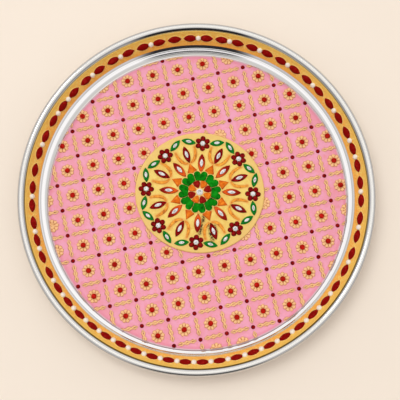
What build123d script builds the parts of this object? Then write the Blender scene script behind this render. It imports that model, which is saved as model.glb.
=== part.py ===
from build123d import *
from math import acos, ceil, cos, degrees, pi, radians, sin, sqrt, tan
import os

# Puja thali: a polished steel dish with a pink lining, gold relief lattice, jewelled rim and medallion.
# Lengths in millimetres, angles in degrees. The dish stands on z = 0 with its axis on Z.

# Steel dish
plate_diameter = 300.0
plate_height = 20.0
sheet_thickness = 0.8
wall_angle = 46.0
cove_radius = 12.0
bead_radius = 3.2
bead_slit = 0.5

# Pink lining, glued to the floor and turned up a little into the cove
lining_thickness = 0.6
lining_curl_angle = 27.0
glue_thickness = 0.2
glue_inset = 1.5
film_clearance = 0.25

# Lattice of twisted gold links with a half bead at every crossing
lattice_pitch_along = 22.5
lattice_pitch_across = 22.1
lattice_turn = 13.2
lattice_offset_x = 0.1
lattice_offset_y = -7.8
lattice_margin = 0.6
lattice_dot_diameter = 3.3
lattice_dot_height = 1.1
link_gap = 2.5
link_height = 1.0
strand_length = 6.6
strand_width = 2.2
strand_step = 4.2
strand_slant = 20.0

# Gold flowers in the middle of the cells
cell_flower_petals = 9
cell_flower_diameter = 11.4
cell_petal_diameter = 2.8
cell_petal_height = 0.8
cell_dot_diameter = 4.4
cell_dot_height = 1.3

# Gold band on the wall, with marquise stones in collars and half pearls between them
band_width = 13.2
band_thickness = 0.5
band_drop = 1.9
rim_stone_length = 11.4
rim_stone_width = 6.0
rim_stone_girdle = 0.8
rim_stone_height = 2.2
rim_stone_gap = 2.3
rim_collar_width = 0.35
rim_collar_height = 0.9
rim_pearl_diameter = 4.6
rim_pearl_height = 2.1
rim_seat_lift = 0.1
rim_first_angle = 3.0
drift_cosine_share = 0.143
drift_sine_share = 0.209
gaps_without_pearl = (0, 3, 5, 7, 9, 11, 13, 15, 16, 18, 20, 22, 25, 27, 28, 30, 33, 54, 56, 58)

# Oval medallion
medallion_length = 110.6
medallion_width = 104.4
medallion_thickness = 1.6
medallion_round = 1.2
medallion_x = 2.8
medallion_y = 3.6
medallion_turn = -3.3
medallion_border = 3.2
motif_count = 8

# Centre of the medallion: stone, petals, green hearts on a gold tray
tray_height = 0.5
tray_outline = 0.45
centre_stone_diameter = 5.8
centre_stone_height = 2.0
centre_petal_length = 6.4
centre_petal_height = 1.0
centre_petal_fill_share = 0.84
heart_depth = 8.5
heart_height = 0.9
heart_gap = 0.4

# Marquise settings and the orange forms between them
inner_setting_length = 15.2
inner_setting_width = 5.6
inner_setting_gap = 0.5
inner_stone_length = 6.8
inner_stone_width = 3.3
outer_setting_length = 14.6
outer_setting_width = 5.2
outer_setting_drop = 9.3
outer_setting_drop_across = 7.6
outer_stone_length = 6.4
outer_stone_width = 3.1
setting_height = 1.0
pocket_depth = 0.6
set_stone_height = 1.5
set_stone_girdle = 0.8
point_width = 8.0
point_height = 0.8
point_gap = 0.6
point_tip_gap = 1.6
stroke_width = 2.4
stroke_height = 0.6
stroke_reach = 11.0
stroke_spread = 8.4
stroke_start = 1.4

# Flowers and leaves round the edge of the medallion
ring_flower_petals = 6
ring_stone_diameter = 4.2
ring_stone_height = 1.9
ring_petal_height = 1.4
leaf_length = 11.2
leaf_width = 4.8
leaf_gap = 0.2
leaf_lift = 1.0
leaf_tilt = 9.0
leaf_stone_length = 5.2
leaf_stone_width = 2.7

# Shared by many pieces
setting_clearance = 0.1
relief_taper = 18.0
table_share = 0.5
overrun = 5.0

# Profile points of the dish, as (radius, height)
wall_sine = sin(radians(wall_angle))
wall_cosine = cos(radians(wall_angle))
bead_centre_radius = plate_diameter / 2 - bead_radius
bead_centre_height = plate_height - bead_radius
wall_top_radius = bead_centre_radius - bead_radius * wall_sine
wall_top_height = bead_centre_height + bead_radius * wall_cosine
cove_top_height = sheet_thickness + cove_radius * (1 - wall_cosine)
cove_top_radius = wall_top_radius - (wall_top_height - cove_top_height) / tan(radians(wall_angle))
floor_radius = cove_top_radius - cove_radius * wall_sine
cove_centre_height = sheet_thickness + cove_radius
bead_start_angle = 90 + wall_angle
bead_end_angle = bead_start_angle - 360 + degrees(acos((bead_radius - sheet_thickness - bead_slit) / bead_radius))

# Heights of the layers on the floor
lining_bottom = sheet_thickness + glue_thickness
lining_top = lining_bottom + lining_thickness
medallion_bottom = lining_top + glue_thickness
medallion_top = medallion_bottom + medallion_thickness
tray_top = medallion_top + tray_height

# Radii of the medallion's rings
centre_petal_ring = centre_stone_diameter / 2 + setting_clearance + centre_petal_length / 2
centre_petal_width = centre_petal_fill_share * 2 * centre_petal_ring * sin(pi / motif_count)
heart_inner_radius = centre_petal_ring + centre_petal_length / 2 + heart_gap
heart_outer_radius = heart_inner_radius + heart_depth
lobe_sine = sin(pi / (2 * motif_count))
lobe_radius = (heart_outer_radius * lobe_sine - heart_gap / 2) / (1 + lobe_sine)
lobe_ring = heart_outer_radius - lobe_radius
tray_radius = heart_outer_radius + tray_outline
petal_sine = sin(pi / ring_flower_petals)
ring_petal_diameter = (petal_sine * (ring_stone_diameter + 2 * setting_clearance) - setting_clearance) / (
    1 - petal_sine
)
ring_petal_ring = ring_stone_diameter / 2 + setting_clearance + ring_petal_diameter / 2
ring_flower_radius = ring_petal_ring + ring_petal_diameter / 2
flower_ring_x = medallion_length / 2 - medallion_border - ring_flower_radius
flower_ring_y = medallion_width / 2 - medallion_border - ring_flower_radius
inner_setting_ring = tray_radius + inner_setting_gap + inner_setting_length / 2
inner_setting_x = inner_setting_ring * 2 * medallion_length / (medallion_length + medallion_width)
inner_setting_y = inner_setting_ring * 2 * medallion_width / (medallion_length + medallion_width)
outer_setting_x = flower_ring_x - outer_setting_drop
outer_setting_y = flower_ring_y - outer_setting_drop_across
point_start = tray_radius + point_gap
point_end = min(outer_setting_x, outer_setting_y) - outer_setting_length / 2 - point_tip_gap


def on_dish(centre_radius, centre_height, radius, angle):
    """A point of the dish's profile on a circle about a profile centre."""
    return (centre_radius + radius * cos(radians(angle)), centre_height + radius * sin(radians(angle)))


def lens(length, width, height):
    """Pointed oval of two arcs, lying at a height, long way along X."""
    with BuildSketch(Plane.XY.offset(height)) as face:
        with BuildLine():
            ThreePointArc((-length / 2, 0), (0, -width / 2), (length / 2, 0))
            ThreePointArc((length / 2, 0), (0, width / 2), (-length / 2, 0))
        make_face()
    return face.sketch


def cut_stone(length, width, girdle, height):
    """Marquise stone with an upright girdle and a bevelled crown."""
    with BuildPart() as stone:
        loft(
            sections=[
                lens(length, width, 0),
                lens(length, width, girdle),
                lens(length * table_share, width * table_share, height),
            ],
            ruled=True,
        )
    return stone.part


def half_bead(diameter, height):
    """Flat-backed round bead, a cap of a sphere."""
    radius = diameter / 2
    cap_radius = (radius**2 + height**2) / (2 * height)
    with BuildPart() as bead:
        with BuildSketch(Plane.XZ):
            with BuildLine():
                Line((0, 0), (radius, 0))
                RadiusArc((radius, 0), (0, height), -cap_radius)
                Line((0, height), (0, 0))
            make_face()
        revolve(axis=Axis.Z)
    return bead.part


def pocketed_setting(length, width, stone_length, stone_width):
    """Marquise enamel cell with a pocket for its stone."""
    pocket_length = stone_length + 2 * setting_clearance
    pocket_width = stone_width + 2 * setting_clearance
    with BuildPart() as cell:
        extrude(lens(length, width, 0), amount=setting_height, taper=relief_taper)
        extrude(
            lens(pocket_length, pocket_width, setting_height - pocket_depth),
            amount=overrun,
            mode=Mode.SUBTRACT,
        )
    return cell.part


def twisted_link(length):
    """Row of slanted strands that run into each other like a twisted cord."""
    slant = radians(strand_slant)
    strand_reach = sqrt((strand_length / 2 * cos(slant)) ** 2 + (strand_width / 2 * sin(slant)) ** 2)
    run = length - 2 * strand_reach
    strands = ceil(run / strand_step) + 1
    with BuildPart() as link:
        with BuildSketch():
            with GridLocations(run / (strands - 1), 0, strands, 1):
                Ellipse(strand_length / 2, strand_width / 2, rotation=strand_slant)
        extrude(amount=link_height)
    return link.part


def oval_places(radius_x, radius_y, height, first_angle):
    """Places of the medallion's motifs on an oval, each with its X axis pointing outwards."""
    places = []
    for motif in range(motif_count):
        angle = first_angle + motif * 360 / motif_count
        place_x = medallion_x + radius_x * cos(radians(angle))
        place_y = medallion_y + radius_y * sin(radians(angle))
        places.append(Location((place_x, place_y, height), (0, 0, angle)))
    return places


def wall_plane(angle, lift):
    """Plane on the middle of the band's face, X along the rim and Z out of the wall."""
    down_wall = band_drop + band_width / 2
    out_of_wall = film_clearance + glue_thickness + film_clearance + band_thickness + lift
    radius = wall_top_radius - down_wall * wall_cosine - out_of_wall * wall_sine
    height = wall_top_height - down_wall * wall_sine + out_of_wall * wall_cosine
    across = cos(radians(angle))
    along = sin(radians(angle))
    return Plane(
        origin=(radius * across, radius * along, height),
        x_dir=(-along, across, 0),
        z_dir=(-wall_sine * across, -wall_sine * along, wall_cosine),
    )


os.makedirs("parts", exist_ok=True)

# Dish pressed from one sheet, its edge curled outwards into a hollow bead
with BuildPart() as thali_plate:
    with BuildSketch(Plane.XZ):
        with BuildLine():
            cove_mid_angle = wall_angle / 2 - 90
            cove_end_angle = wall_angle - 90
            bead_mid_angle = (bead_start_angle + bead_end_angle) / 2
            bead_inner = bead_radius - sheet_thickness
            cove_outer = cove_radius + sheet_thickness
            Line((0, sheet_thickness), (floor_radius, sheet_thickness))
            ThreePointArc(
                (floor_radius, sheet_thickness),
                on_dish(floor_radius, cove_centre_height, cove_radius, cove_mid_angle),
                on_dish(floor_radius, cove_centre_height, cove_radius, cove_end_angle),
            )
            Line((cove_top_radius, cove_top_height), (wall_top_radius, wall_top_height))
            ThreePointArc(
                (wall_top_radius, wall_top_height),
                on_dish(bead_centre_radius, bead_centre_height, bead_radius, bead_mid_angle),
                on_dish(bead_centre_radius, bead_centre_height, bead_radius, bead_end_angle),
            )
            Line(
                on_dish(bead_centre_radius, bead_centre_height, bead_radius, bead_end_angle),
                on_dish(bead_centre_radius, bead_centre_height, bead_inner, bead_end_angle),
            )
            ThreePointArc(
                on_dish(bead_centre_radius, bead_centre_height, bead_inner, bead_end_angle),
                on_dish(bead_centre_radius, bead_centre_height, bead_inner, bead_mid_angle),
                on_dish(bead_centre_radius, bead_centre_height, bead_inner, bead_start_angle),
            )
            Line(
                on_dish(bead_centre_radius, bead_centre_height, bead_inner, bead_start_angle),
                on_dish(floor_radius, cove_centre_height, cove_outer, cove_end_angle),
            )
            ThreePointArc(
                on_dish(floor_radius, cove_centre_height, cove_outer, cove_end_angle),
                on_dish(floor_radius, cove_centre_height, cove_outer, cove_mid_angle),
                (floor_radius, 0),
            )
            Line((floor_radius, 0), (0, 0))
            Line((0, 0), (0, sheet_thickness))
        make_face()
    revolve(axis=Axis.Z)
thali_plate.part.label = "thali_plate"
export_step(thali_plate.part, "parts/thali_plate.step")

# Glue film under the lining
with BuildPart() as lining_adhesive:
    with BuildSketch(Plane.XY.offset(sheet_thickness)):
        Circle(floor_radius - glue_inset)
    extrude(amount=glue_thickness)
lining_adhesive.part.label = "lining_adhesive"
export_step(lining_adhesive.part, "parts/lining_adhesive.step")

# Lining sheet, its edge following the cove at the glue's distance
with BuildPart() as floor_lining:
    with BuildSketch(Plane.XZ):
        with BuildLine():
            under_radius = cove_radius - glue_thickness
            upper_radius = under_radius - lining_thickness
            curl_end_angle = lining_curl_angle - 90
            curl_mid_angle = lining_curl_angle / 2 - 90
            Line((0, lining_bottom), (floor_radius, lining_bottom))
            ThreePointArc(
                (floor_radius, lining_bottom),
                on_dish(floor_radius, cove_centre_height, under_radius, curl_mid_angle),
                on_dish(floor_radius, cove_centre_height, under_radius, curl_end_angle),
            )
            Line(
                on_dish(floor_radius, cove_centre_height, under_radius, curl_end_angle),
                on_dish(floor_radius, cove_centre_height, upper_radius, curl_end_angle),
            )
            ThreePointArc(
                on_dish(floor_radius, cove_centre_height, upper_radius, curl_end_angle),
                on_dish(floor_radius, cove_centre_height, upper_radius, curl_mid_angle),
                (floor_radius, lining_top),
            )
            Line((floor_radius, lining_top), (0, lining_top))
            Line((0, lining_top), (0, lining_bottom))
        make_face()
    revolve(axis=Axis.Z)
floor_lining.part.label = "floor_lining"
export_step(floor_lining.part, "parts/floor_lining.step")

# Part of the lining that the lattice covers, outside the medallion
field_radius = floor_radius - lattice_margin
hole_radius_x = medallion_length / 2 + setting_clearance
hole_radius_y = medallion_width / 2 + setting_clearance
with BuildPart() as lattice_field:
    with BuildSketch(Plane.XY.offset(lining_top)):
        Circle(field_radius)
        with Locations((medallion_x, medallion_y)):
            Ellipse(hole_radius_x, hole_radius_y, rotation=medallion_turn, mode=Mode.SUBTRACT)
    extrude(amount=overrun)


def in_field(place, reach):
    """Whether a place on the lining lies in the lattice's field with room to spare all round."""
    spot = place.position
    turn = radians(medallion_turn)
    east = spot.X - medallion_x
    north = spot.Y - medallion_y
    oval_x = (east * cos(turn) + north * sin(turn)) / (hole_radius_x + reach)
    oval_y = (north * cos(turn) - east * sin(turn)) / (hole_radius_y + reach)
    return sqrt(spot.X**2 + spot.Y**2) < field_radius - reach and oval_x**2 + oval_y**2 > 1


def lattice_places(shift_along, shift_across, turn, reach):
    """Places in the field on the lattice's grid, shifted by shares of a cell."""
    corner = Location((lattice_offset_x, lattice_offset_y, lining_top), (0, 0, lattice_turn))
    shift = Location(
        (shift_along * lattice_pitch_along, shift_across * lattice_pitch_across, 0), (0, 0, turn)
    )
    lines = 2 * ceil(plate_diameter / min(lattice_pitch_along, lattice_pitch_across) / 2) + 1
    grid = GridLocations(lattice_pitch_along, lattice_pitch_across, lines, lines)
    places = [corner * cell * shift for cell in grid]
    return [place for place in places if in_field(place, reach)]


# Twisted links along both ways of the lattice, trimmed to the field
link_ends = lattice_dot_diameter + 2 * link_gap
along_link = twisted_link(lattice_pitch_along - link_ends)
across_link = twisted_link(lattice_pitch_across - link_ends)
with BuildPart() as lattice_links:
    with Locations(*lattice_places(1 / 2, 0, 0, 0)):
        add(along_link)
    with Locations(*lattice_places(0, 1 / 2, 90, 0)):
        add(across_link)
    add(lattice_field.part, mode=Mode.INTERSECT)
lattice_links.part.label = "lattice_links"
export_step(lattice_links.part, "parts/lattice_links.step")

# Half beads at the crossings
with BuildPart() as lattice_dots:
    with Locations(*lattice_places(0, 0, 0, lattice_dot_diameter / 2)):
        add(half_bead(lattice_dot_diameter, lattice_dot_height))
lattice_dots.part.label = "lattice_dots"
export_step(lattice_dots.part, "parts/lattice_dots.step")

# Gold flower: round petal ends on a disc that carries the red half bead
cell_petal_ring = cell_flower_diameter / 2 - cell_petal_diameter / 2
with BuildPart() as cell_flower:
    with BuildSketch():
        Circle(cell_petal_ring)
        with PolarLocations(cell_petal_ring, cell_flower_petals):
            Circle(cell_petal_diameter / 2)
    extrude(amount=cell_petal_height)

cell_places = lattice_places(1 / 2, 1 / 2, 0, cell_dot_diameter / 2)
with BuildPart() as floor_flowers:
    with Locations(*cell_places):
        add(cell_flower.part)
    add(lattice_field.part, mode=Mode.INTERSECT)
floor_flowers.part.label = "floor_flowers"
export_step(floor_flowers.part, "parts/floor_flowers.step")

with BuildPart() as floor_flower_dots:
    flower_top = Location((0, 0, cell_petal_height))
    with Locations(*[place * flower_top for place in cell_places]):
        add(half_bead(cell_dot_diameter, cell_dot_height))
floor_flower_dots.part.label = "floor_flower_dots"
export_step(floor_flower_dots.part, "parts/floor_flower_dots.step")

# Glue film and gold band, both lying on the wall
band_foot_radius = wall_top_radius - (band_drop + band_width) * wall_cosine
band_foot_height = wall_top_height - (band_drop + band_width) * wall_sine
low_corner = (Align.MIN, Align.MIN)


def off_wall(distance):
    """Profile point at a distance out of the wall, level with the band's foot."""
    return (band_foot_radius - distance * wall_sine, band_foot_height + distance * wall_cosine)


with BuildPart() as band_adhesive:
    with BuildSketch(Plane.XZ):
        with Locations(off_wall(film_clearance)):
            Rectangle(band_width, glue_thickness, rotation=wall_angle, align=low_corner)
    revolve(axis=Axis.Z)
band_adhesive.part.label = "band_adhesive"
export_step(band_adhesive.part, "parts/band_adhesive.step")

with BuildPart() as rim_band:
    with BuildSketch(Plane.XZ):
        with Locations(off_wall(2 * film_clearance + glue_thickness)):
            Rectangle(band_width, band_thickness, rotation=wall_angle, align=low_corner)
    revolve(axis=Axis.Z)
rim_band.part.label = "rim_band"
export_step(rim_band.part, "parts/rim_band.step")

# Stones round the band: their spacing drifts a little, twice round the rim, as set by hand
rim_pitch = rim_stone_length + 2 * rim_collar_width + rim_stone_gap
rim_middle_radius = wall_top_radius - (band_drop + band_width / 2) * wall_cosine
rim_stone_count = int(2 * pi * rim_middle_radius / rim_pitch)
rim_step_angle = 360 / rim_stone_count


def rim_angle(stone):
    """Angle of a stone, or of the gap after it when the stone number ends in a half."""
    even_angle = stone * rim_step_angle
    swing = radians(2 * even_angle)
    drift = drift_cosine_share * cos(swing) + drift_sine_share * sin(swing)
    return rim_first_angle + even_angle + drift * rim_step_angle


stone_planes = [wall_plane(rim_angle(stone), rim_seat_lift) for stone in range(rim_stone_count)]
pearl_gaps = [gap for gap in range(rim_stone_count) if gap not in gaps_without_pearl]
pearl_planes = [wall_plane(rim_angle(gap + 1 / 2), rim_seat_lift) for gap in pearl_gaps]

# Room kept free for the pearls, where the stones' tips and collars give way
with BuildPart() as pearl_room:
    Cylinder(rim_pearl_diameter / 2 + setting_clearance, 2 * overrun)

with BuildPart() as rim_stones:
    with Locations(*stone_planes):
        add(cut_stone(rim_stone_length, rim_stone_width, rim_stone_girdle, rim_stone_height))
    with Locations(*pearl_planes):
        add(pearl_room.part, mode=Mode.SUBTRACT)
rim_stones.part.label = "rim_stones"
export_step(rim_stones.part, "parts/rim_stones.step")

# Gold collar of one stone
collar_hole_length = rim_stone_length + 2 * setting_clearance
collar_hole_width = rim_stone_width + 2 * setting_clearance
with BuildPart() as rim_collar:
    extrude(
        lens(collar_hole_length + 2 * rim_collar_width, collar_hole_width + 2 * rim_collar_width, 0),
        amount=rim_collar_height,
    )
    extrude(lens(collar_hole_length, collar_hole_width, 0), amount=rim_collar_height, mode=Mode.SUBTRACT)

with BuildPart() as rim_collars:
    with Locations(*stone_planes):
        add(rim_collar.part)
    with Locations(*pearl_planes):
        add(pearl_room.part, mode=Mode.SUBTRACT)
rim_collars.part.label = "rim_collars"
export_step(rim_collars.part, "parts/rim_collars.step")

with BuildPart() as rim_pearls:
    with Locations(*pearl_planes):
        add(half_bead(rim_pearl_diameter, rim_pearl_height))
rim_pearls.part.label = "rim_pearls"
export_step(rim_pearls.part, "parts/rim_pearls.step")

# Medallion: glue film and raised oval plaque with a rounded edge
with BuildPart() as medallion_adhesive:
    with BuildSketch(Plane.XY.offset(lining_top)):
        with Locations((medallion_x, medallion_y)):
            Ellipse(medallion_length / 2 - glue_inset, medallion_width / 2 - glue_inset, rotation=medallion_turn)
    extrude(amount=glue_thickness)
medallion_adhesive.part.label = "medallion_adhesive"
export_step(medallion_adhesive.part, "parts/medallion_adhesive.step")

with BuildPart() as medallion_plate:
    with BuildSketch(Plane.XY.offset(medallion_bottom)):
        with Locations((medallion_x, medallion_y)):
            Ellipse(medallion_length / 2, medallion_width / 2, rotation=medallion_turn)
    extrude(amount=medallion_thickness)
    fillet(medallion_plate.edges().group_by(Axis.Z)[-1], medallion_round)
medallion_plate.part.label = "medallion_plate"
export_step(medallion_plate.part, "parts/medallion_plate.step")

# Angles of the motifs: flowers and hearts on the first, points and outer settings half way between
main_angle = medallion_turn
between_angle = medallion_turn + 180 / motif_count
centre_on_plaque = Location((medallion_x, medallion_y, medallion_top), (0, 0, main_angle))
centre_on_tray = Location((medallion_x, medallion_y, tray_top), (0, 0, main_angle))

# Gold tray with a scalloped edge, one scallop for each lobe of the hearts
with BuildPart() as tray_shape:
    with BuildSketch():
        Circle(lobe_ring)
        with PolarLocations(lobe_ring, 2 * motif_count, 90 / motif_count):
            Circle(lobe_radius + tray_outline)
    extrude(amount=tray_height)

with BuildPart() as centre_tray:
    with Locations(centre_on_plaque):
        add(tray_shape.part)
centre_tray.part.label = "centre_tray"
export_step(centre_tray.part, "parts/centre_tray.step")

# Green heart: a wedge that widens into two lobes
half_sector = radians(180 / motif_count)
wedge_side = heart_gap / 2 / cos(half_sector)
with BuildPart() as heart:
    with BuildSketch():
        with BuildLine():
            inner_half_width = heart_inner_radius * tan(half_sector) - wedge_side
            outer_x = lobe_ring * cos(half_sector / 2)
            outer_half_width = outer_x * tan(half_sector) - wedge_side
            Polyline(
                (heart_inner_radius, -inner_half_width),
                (outer_x, -outer_half_width),
                (outer_x, outer_half_width),
                (heart_inner_radius, inner_half_width),
                close=True,
            )
        make_face()
        with Locations(
            (outer_x, lobe_ring * sin(half_sector / 2)),
            (outer_x, -lobe_ring * sin(half_sector / 2)),
        ):
            Circle(lobe_radius)
    extrude(amount=heart_height)

with BuildPart() as green_hearts:
    with Locations(centre_on_tray):
        with PolarLocations(0, motif_count):
            add(heart.part)
green_hearts.part.label = "green_hearts"
export_step(green_hearts.part, "parts/green_hearts.step")

# Centre petals, red and orange in turn
with BuildPart() as centre_petal:
    with BuildSketch():
        Ellipse(centre_petal_length / 2, centre_petal_width / 2)
    extrude(amount=centre_petal_height, taper=relief_taper)

with BuildPart() as centre_petals_red:
    with Locations(centre_on_tray):
        with PolarLocations(centre_petal_ring, motif_count // 2, 180 / motif_count):
            add(centre_petal.part)
centre_petals_red.part.label = "centre_petals_red"
export_step(centre_petals_red.part, "parts/centre_petals_red.step")

with BuildPart() as centre_petals_orange:
    with Locations(centre_on_tray):
        with PolarLocations(centre_petal_ring, motif_count // 2, 3 * 180 / motif_count):
            add(centre_petal.part)
centre_petals_orange.part.label = "centre_petals_orange"
export_step(centre_petals_orange.part, "parts/centre_petals_orange.step")

with BuildPart() as centre_stone:
    with Locations(centre_on_tray):
        add(half_bead(centre_stone_diameter, centre_stone_height))
centre_stone.part.label = "centre_stone"
export_step(centre_stone.part, "parts/centre_stone.step")

# Orange points between the hearts, from the tray's edge to the outer settings
with BuildPart() as point:
    with BuildSketch():
        with BuildLine():
            shoulder = point_start + point_width / 2 * tan(half_sector)
            Polyline((point_start, 0), (shoulder, -point_width / 2), (point_end, 0))
            Polyline((point_end, 0), (shoulder, point_width / 2), (point_start, 0))
        make_face()
    extrude(amount=point_height, taper=relief_taper)

with BuildPart() as orange_points:
    with Locations(centre_on_plaque):
        with PolarLocations(0, motif_count, 180 / motif_count):
            add(point.part)
orange_points.part.label = "orange_points"
export_step(orange_points.part, "parts/orange_points.step")

# Inner marquise settings and their stones
pocket_floor = Location((0, 0, setting_height - pocket_depth))
inner_places = oval_places(inner_setting_x, inner_setting_y, medallion_top, main_angle)
with BuildPart() as inner_settings:
    with Locations(*inner_places):
        add(pocketed_setting(inner_setting_length, inner_setting_width, inner_stone_length, inner_stone_width))
inner_settings.part.label = "inner_settings"
export_step(inner_settings.part, "parts/inner_settings.step")

with BuildPart() as inner_stones:
    with Locations(*[place * pocket_floor for place in inner_places]):
        add(cut_stone(inner_stone_length, inner_stone_width, set_stone_girdle, set_stone_height))
inner_stones.part.label = "inner_stones"
export_step(inner_stones.part, "parts/inner_stones.step")

# Outer marquise settings and their stones
outer_places = oval_places(outer_setting_x, outer_setting_y, medallion_top, between_angle)
with BuildPart() as outer_settings:
    with Locations(*outer_places):
        add(pocketed_setting(outer_setting_length, outer_setting_width, outer_stone_length, outer_stone_width))
outer_settings.part.label = "outer_settings"
export_step(outer_settings.part, "parts/outer_settings.step")

with BuildPart() as outer_stones:
    with Locations(*[place * pocket_floor for place in outer_places]):
        add(cut_stone(outer_stone_length, outer_stone_width, set_stone_girdle, set_stone_height))
outer_stones.part.label = "outer_stones"
export_step(outer_stones.part, "parts/outer_stones.step")

# Raised strokes that open like a lotus from the inner tip of each outer setting
tip_x = -outer_setting_length / 2
with BuildPart() as stroke_pair:
    with BuildSketch():
        with BuildLine():
            stroke_side = stroke_spread - stroke_width
            outer_start = (tip_x - stroke_start, stroke_start)
            outer_end = (tip_x + stroke_reach, stroke_spread)
            outer_bulge = (tip_x + stroke_reach / 4, stroke_spread - stroke_width / 2)
            inner_bulge = (tip_x + stroke_reach / 3, stroke_side - stroke_width / 2)
            ThreePointArc(outer_start, outer_bulge, outer_end)
            ThreePointArc(outer_end, inner_bulge, outer_start)
        make_face()
        mirror(about=Plane.XZ)
    extrude(amount=stroke_height)

with BuildPart() as lotus_strokes:
    with Locations(*outer_places):
        add(stroke_pair.part)
lotus_strokes.part.label = "lotus_strokes"
export_step(lotus_strokes.part, "parts/lotus_strokes.step")

# Flowers of round petals, each round a white stone
flower_places = oval_places(flower_ring_x, flower_ring_y, medallion_top, main_angle)
with BuildPart() as petal_ring:
    with PolarLocations(ring_petal_ring, ring_flower_petals):
        add(half_bead(ring_petal_diameter, ring_petal_height))

with BuildPart() as flower_petals:
    with Locations(*flower_places):
        add(petal_ring.part)
flower_petals.part.label = "flower_petals"
export_step(flower_petals.part, "parts/flower_petals.step")

with BuildPart() as flower_stones:
    with Locations(*flower_places):
        add(half_bead(ring_stone_diameter, ring_stone_height))
flower_stones.part.label = "flower_stones"
export_step(flower_stones.part, "parts/flower_stones.step")

# A leaf on either side of each flower, tilted outwards, with its stone
leaf_reach = ring_flower_radius + leaf_gap + leaf_length / 2
leaf_sides = (
    Location((leaf_lift, leaf_reach, 0), (0, 0, 90 - leaf_tilt)),
    Location((leaf_lift, -leaf_reach, 0), (0, 0, leaf_tilt - 90)),
)
leaf_places = [flower * side for flower in flower_places for side in leaf_sides]
with BuildPart() as leaves:
    with Locations(*leaf_places):
        add(pocketed_setting(leaf_length, leaf_width, leaf_stone_length, leaf_stone_width))
leaves.part.label = "leaves"
export_step(leaves.part, "parts/leaves.step")

with BuildPart() as leaf_stones:
    with Locations(*[place * pocket_floor for place in leaf_places]):
        add(cut_stone(leaf_stone_length, leaf_stone_width, set_stone_girdle, set_stone_height))
leaf_stones.part.label = "leaf_stones"
export_step(leaf_stones.part, "parts/leaf_stones.step")
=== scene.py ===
import math
from typing import NamedTuple

import bpy
import numpy as np
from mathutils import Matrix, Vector


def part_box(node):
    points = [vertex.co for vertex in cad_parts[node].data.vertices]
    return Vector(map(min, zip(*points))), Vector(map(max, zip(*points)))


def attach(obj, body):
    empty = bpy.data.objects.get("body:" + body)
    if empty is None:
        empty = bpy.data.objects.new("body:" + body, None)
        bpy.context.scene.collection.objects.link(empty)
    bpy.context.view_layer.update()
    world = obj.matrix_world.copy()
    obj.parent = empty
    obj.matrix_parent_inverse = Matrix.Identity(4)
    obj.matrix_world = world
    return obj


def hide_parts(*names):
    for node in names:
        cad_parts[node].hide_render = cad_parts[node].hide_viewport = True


bl_info = {
    "name": "Puja thali",
    "version": (1, 0, 0),
    "blender": (4, 5, 0),
    "location": "View3D > Sidebar > Thali",
    "description": "Builds a jewelled puja thali with its finishes and a plain studio",
    "category": "Object",
}

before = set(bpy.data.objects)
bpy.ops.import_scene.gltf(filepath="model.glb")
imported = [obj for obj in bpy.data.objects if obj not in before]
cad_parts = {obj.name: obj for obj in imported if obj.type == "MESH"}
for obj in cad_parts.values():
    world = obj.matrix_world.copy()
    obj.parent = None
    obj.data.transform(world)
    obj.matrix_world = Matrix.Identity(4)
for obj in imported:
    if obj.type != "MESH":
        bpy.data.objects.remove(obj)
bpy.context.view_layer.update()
MM = 0.001


def tint(red, green, blue):
    """Linear colour of screen values 0 to 255: share c becomes ((c + 0.055) / 1.055) to the power 2.4."""
    shares = np.array([red, green, blue]) / 255
    return tuple(float(value) for value in ((shares + 0.055) / 1.055) ** 2.4)


def size(label, text, millimetres):
    """A length that the user can change, given in millimetres and kept in metres."""
    return bpy.props.FloatProperty(
        name=label, description=text, default=millimetres * MM, precision=5, unit="LENGTH"
    )


def angle(label, text, degrees):
    """An angle that the user can change, given in degrees and kept in radians."""
    return bpy.props.FloatProperty(
        name=label, description=text, default=math.radians(degrees), subtype="ANGLE", unit="ROTATION"
    )


def count(label, text, number):
    """A whole number that the user can change."""
    return bpy.props.IntProperty(name=label, description=text, default=number, min=1)


def paint(label, text, red, green, blue):
    """A colour that the user can change, given in screen values."""
    return bpy.props.FloatVectorProperty(
        name=label, description=text, default=tint(red, green, blue), size=3, min=0, max=1, subtype="COLOR"
    )


PLATE_RADIUS = min(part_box("thali_plate")[1][:2]) / MM
PLATE_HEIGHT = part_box("thali_plate")[1][2] / MM
FLOOR_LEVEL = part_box("lattice_dots")[0][2] / MM
PLAQUE_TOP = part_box("medallion_plate")[1][2] / MM


class ThaliDish(bpy.types.PropertyGroup):
    """Sizes of the steel dish and its pink lining."""

    plate_radius: size("Plate radius", "Radius over the rolled edge", PLATE_RADIUS)
    plate_height: size("Plate height", "Height of the rolled edge", PLATE_HEIGHT)
    sheet: size("Sheet", "Thickness of the steel sheet", 0.8)
    wall_angle: angle("Wall slope", "Slope of the wall above the level", 46)
    cove_radius: size("Cove radius", "Inner radius of the cove between floor and wall", 12)
    bead_radius: size("Edge radius", "Outer radius of the rolled edge", 3.2)
    bead_slit: size("Edge slit", "Gap between the curled edge and the wall", 0.5)
    lining_top: size("Lining top", "Height of the lining's upper face", FLOOR_LEVEL)
    lining: size("Lining", "Thickness of the lining", 0.6)
    lining_curl: angle("Lining curl", "How far the lining climbs the cove", 30)
    lining_gap: size("Lining gap", "Distance of the lining from the steel", 0.2)
    lining_drift: size("Lining drift", "How far the lining's edge leans to the front", 1.5)


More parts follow.
